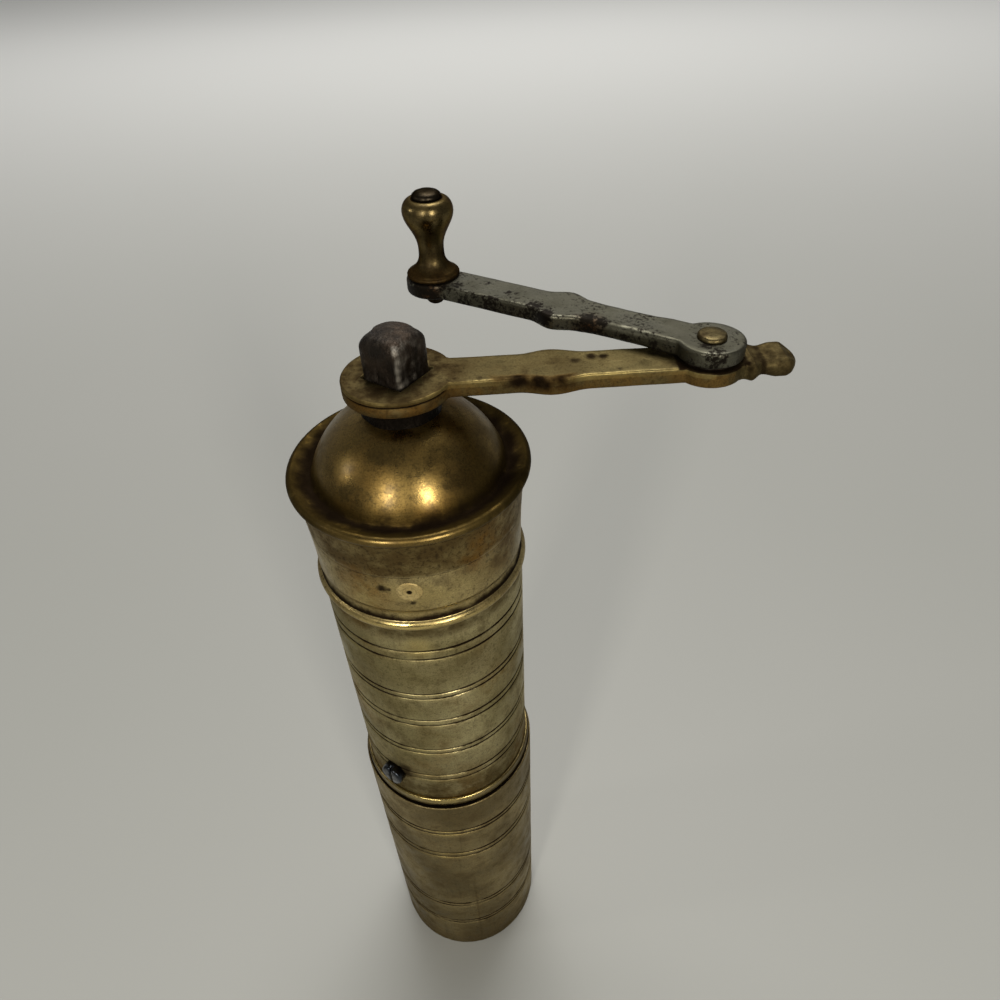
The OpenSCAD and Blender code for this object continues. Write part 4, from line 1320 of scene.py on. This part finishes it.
def make_burr_screws():
    """Slotted screws that hold the outer burr."""
    radius = 3.5
    tall = 2.5
    edge = 0.7
    shank_r = 1.9
    seat = BARREL_R + FIT
    tip = seat - 3.4
    profile = [Spot(0, tip), Spot(shank_r, tip), Spot(shank_r, seat)]
    profile += [Spot(radius - 0.1, seat, 0.9), Spot(radius, seat + 0.15, 0.6)]
    profile += arc(radius - edge, seat + tall - edge, edge, 0, 75, 6)
    profile += [Spot(1.2, seat + tall), Spot(0, seat + tall)]
    screws = []
    for turn in (0, math.pi):
        piece = new_piece("burr_screws_slotted", turned(profile, closed=False, facets=56))
        bore(piece, box_cutter((4 * radius, SLOT_W, tall), seat + tall))
        lay = Matrix.Rotation(SCREW_TURN + turn, 4, "Z") @ Matrix.Rotation(math.pi / 2, 4, "Y")
        piece.data.transform(Matrix.Translation((0, 0, SCREW_Z * MM)) @ lay)
        screws.append(piece)
    joined = bmesh.new()
    for piece in screws:
        joined.from_mesh(piece.data)
    joined.to_mesh(screws[0].data)
    joined.free()
    bpy.data.objects.remove(screws[1])
    dress(screws[0], "barrel", "screw_steel", screw_steel, "burr_screws")


make_cup()
make_barrel()
make_foot_ring()
make_collar()
make_collar_rivets()
make_lid()
make_neck()
make_shaft()
make_lower_arm()
make_upper_arm()
make_pivot_rivet()
make_knob()
make_knob_pin()
make_burr_screws()


# Inner pieces keep their CAD shape

KEPT = (
    (cup_brass, ("cup_base",)),
    (lid_brass, ("lid_skirt",)),
    (iron, ("pivot_washer", "top_bridge", "bottom_bridge")),
    (burr_iron, ("stator_burr", "rotor_burr")),
    (screw_steel, ("bridge_screws", "adjusting_screw", "thrust_pad", "rotor_pin")),
)
for material, nodes in KEPT:
    for node in nodes:
        mesh = frame["nodes"][node].data
        mesh.materials.clear()
        mesh.materials.append(material)


# Stage: a floor painted paler behind the mill as painted light, a dim room that is paler behind the mill,
# and soft lamps, with places in metres

FLOOR_R = 6.0
FLOOR_PAINTED_LIGHT = (0.1, 2.4)   # where the floor starts and ends to grow paler: painted light towards the back
ROOM_FADE = (0.1, 0.8)    # the same for the room, on a sphere of radius 1
ROOM_DIM = (0.13, 0.128, 0.122, 1)
ROOM_PALE = (0.3, 0.297, 0.288, 1)
LAMP_AIM = Vector((0, 0, 0.22))


def make_floor():
    builder = bmesh.new()
    bmesh.ops.create_circle(builder, cap_ends=True, radius=FLOOR_R, segments=96)
    mesh = bpy.data.meshes.new("floor")
    builder.to_mesh(mesh)
    builder.free()
    floor = bpy.data.objects.new("floor", mesh)
    scene.collection.objects.link(floor)
    paint = Finish("floor_with_painted_light")
    # painted light: the floor is painted paler towards the back, standing in for light there
    far = paint.ease(paint.depth_of(paint.place), *FLOOR_PAINTED_LIGHT)
    tone = paint.mix(paint.noise(260, detail=2), colour("9a9a96"), colour("969792"))
    tone = paint.mix(far, tone, colour("f6f7f5"))
    paint.shade(Base_Color=tone, Roughness=0.6)
    mesh.materials.append(paint.material)


def make_lamp(name, azimuth, elevation, distance, width, height, watts, tint):
    """A soft rectangular lamp that faces the mill's lid."""
    turn = math.radians(azimuth)
    lift = math.radians(elevation)
    way = Vector((math.cos(turn) * math.cos(lift), math.sin(turn) * math.cos(lift), math.sin(lift)))
    data = bpy.data.lights.new(name, "AREA")
    data.shape = "RECTANGLE"
    data.size = width
    data.size_y = height
    data.energy = watts
    data.color = tint
    lamp = bpy.data.objects.new(name, data)
    lamp.location = LAMP_AIM + way * distance
    lamp.rotation_euler = way.to_track_quat("Z", "Y").to_euler()
    scene.collection.objects.link(lamp)


def make_room():
    """Light of a dim room: pale towards the back, dark in front and overhead."""
    scene.world = bpy.data.worlds.new("room")
    room = Nodes(scene.world)
    far = room.ease(room.depth_of(room.place_as("Generated")), *ROOM_FADE)
    room.feed(room.nodes["Background"].inputs["Color"], room.mix(far, ROOM_DIM, ROOM_PALE))


WARM = (1.0, 0.96, 0.88)
NEUTRAL = (1.0, 0.985, 0.96)
LAMPS = (   # name, azimuth, elevation, distance, width, height, watts, tint
    ("overhead", 81, 66, 3.0, 1.6, 1.6, 78, NEUTRAL),
    ("front_left", -113, 24, 1.2, 0.14, 0.5, 5.7, WARM),
    ("front_right", -68, 22, 1.2, 0.16, 0.5, 7.2, WARM),
    ("left", -174, 24, 1.2, 0.12, 0.16, 1.0, WARM),
)
make_floor()
make_room()
for lamp in LAMPS:
    make_lamp(*lamp)


# Camera at the photograph's place

CAMERA_PLACE = Vector((16.87, -129.73, 327.3)) * MM
CAMERA_YAW = math.radians(1.41)
CAMERA_PITCH = math.radians(41.24)
CAMERA_ROLL = math.radians(2.5)
CAMERA_LENS = 26.03


def make_camera():
    ahead = math.cos(CAMERA_PITCH)
    forward = Vector((
        math.sin(CAMERA_YAW) * ahead, math.cos(CAMERA_YAW) * ahead, -math.sin(CAMERA_PITCH),
    ))
    level = Vector((math.cos(CAMERA_YAW), -math.sin(CAMERA_YAW), 0))
    below = forward.cross(level)
    right = math.cos(CAMERA_ROLL) * level + math.sin(CAMERA_ROLL) * below
    up = math.sin(CAMERA_ROLL) * level - math.cos(CAMERA_ROLL) * below
    data = bpy.data.cameras.new("camera")
    data.sensor_width = 36
    data.lens = CAMERA_LENS
    data.clip_start = 0.01
    camera = bpy.data.objects.new("camera", data)
    stance = Matrix((right, up, -forward)).transposed().to_4x4()
    camera.matrix_world = Matrix.Translation(CAMERA_PLACE) @ stance
    scene.collection.objects.link(camera)
    scene.camera = camera


make_camera()

bpy.context.view_layer.update()
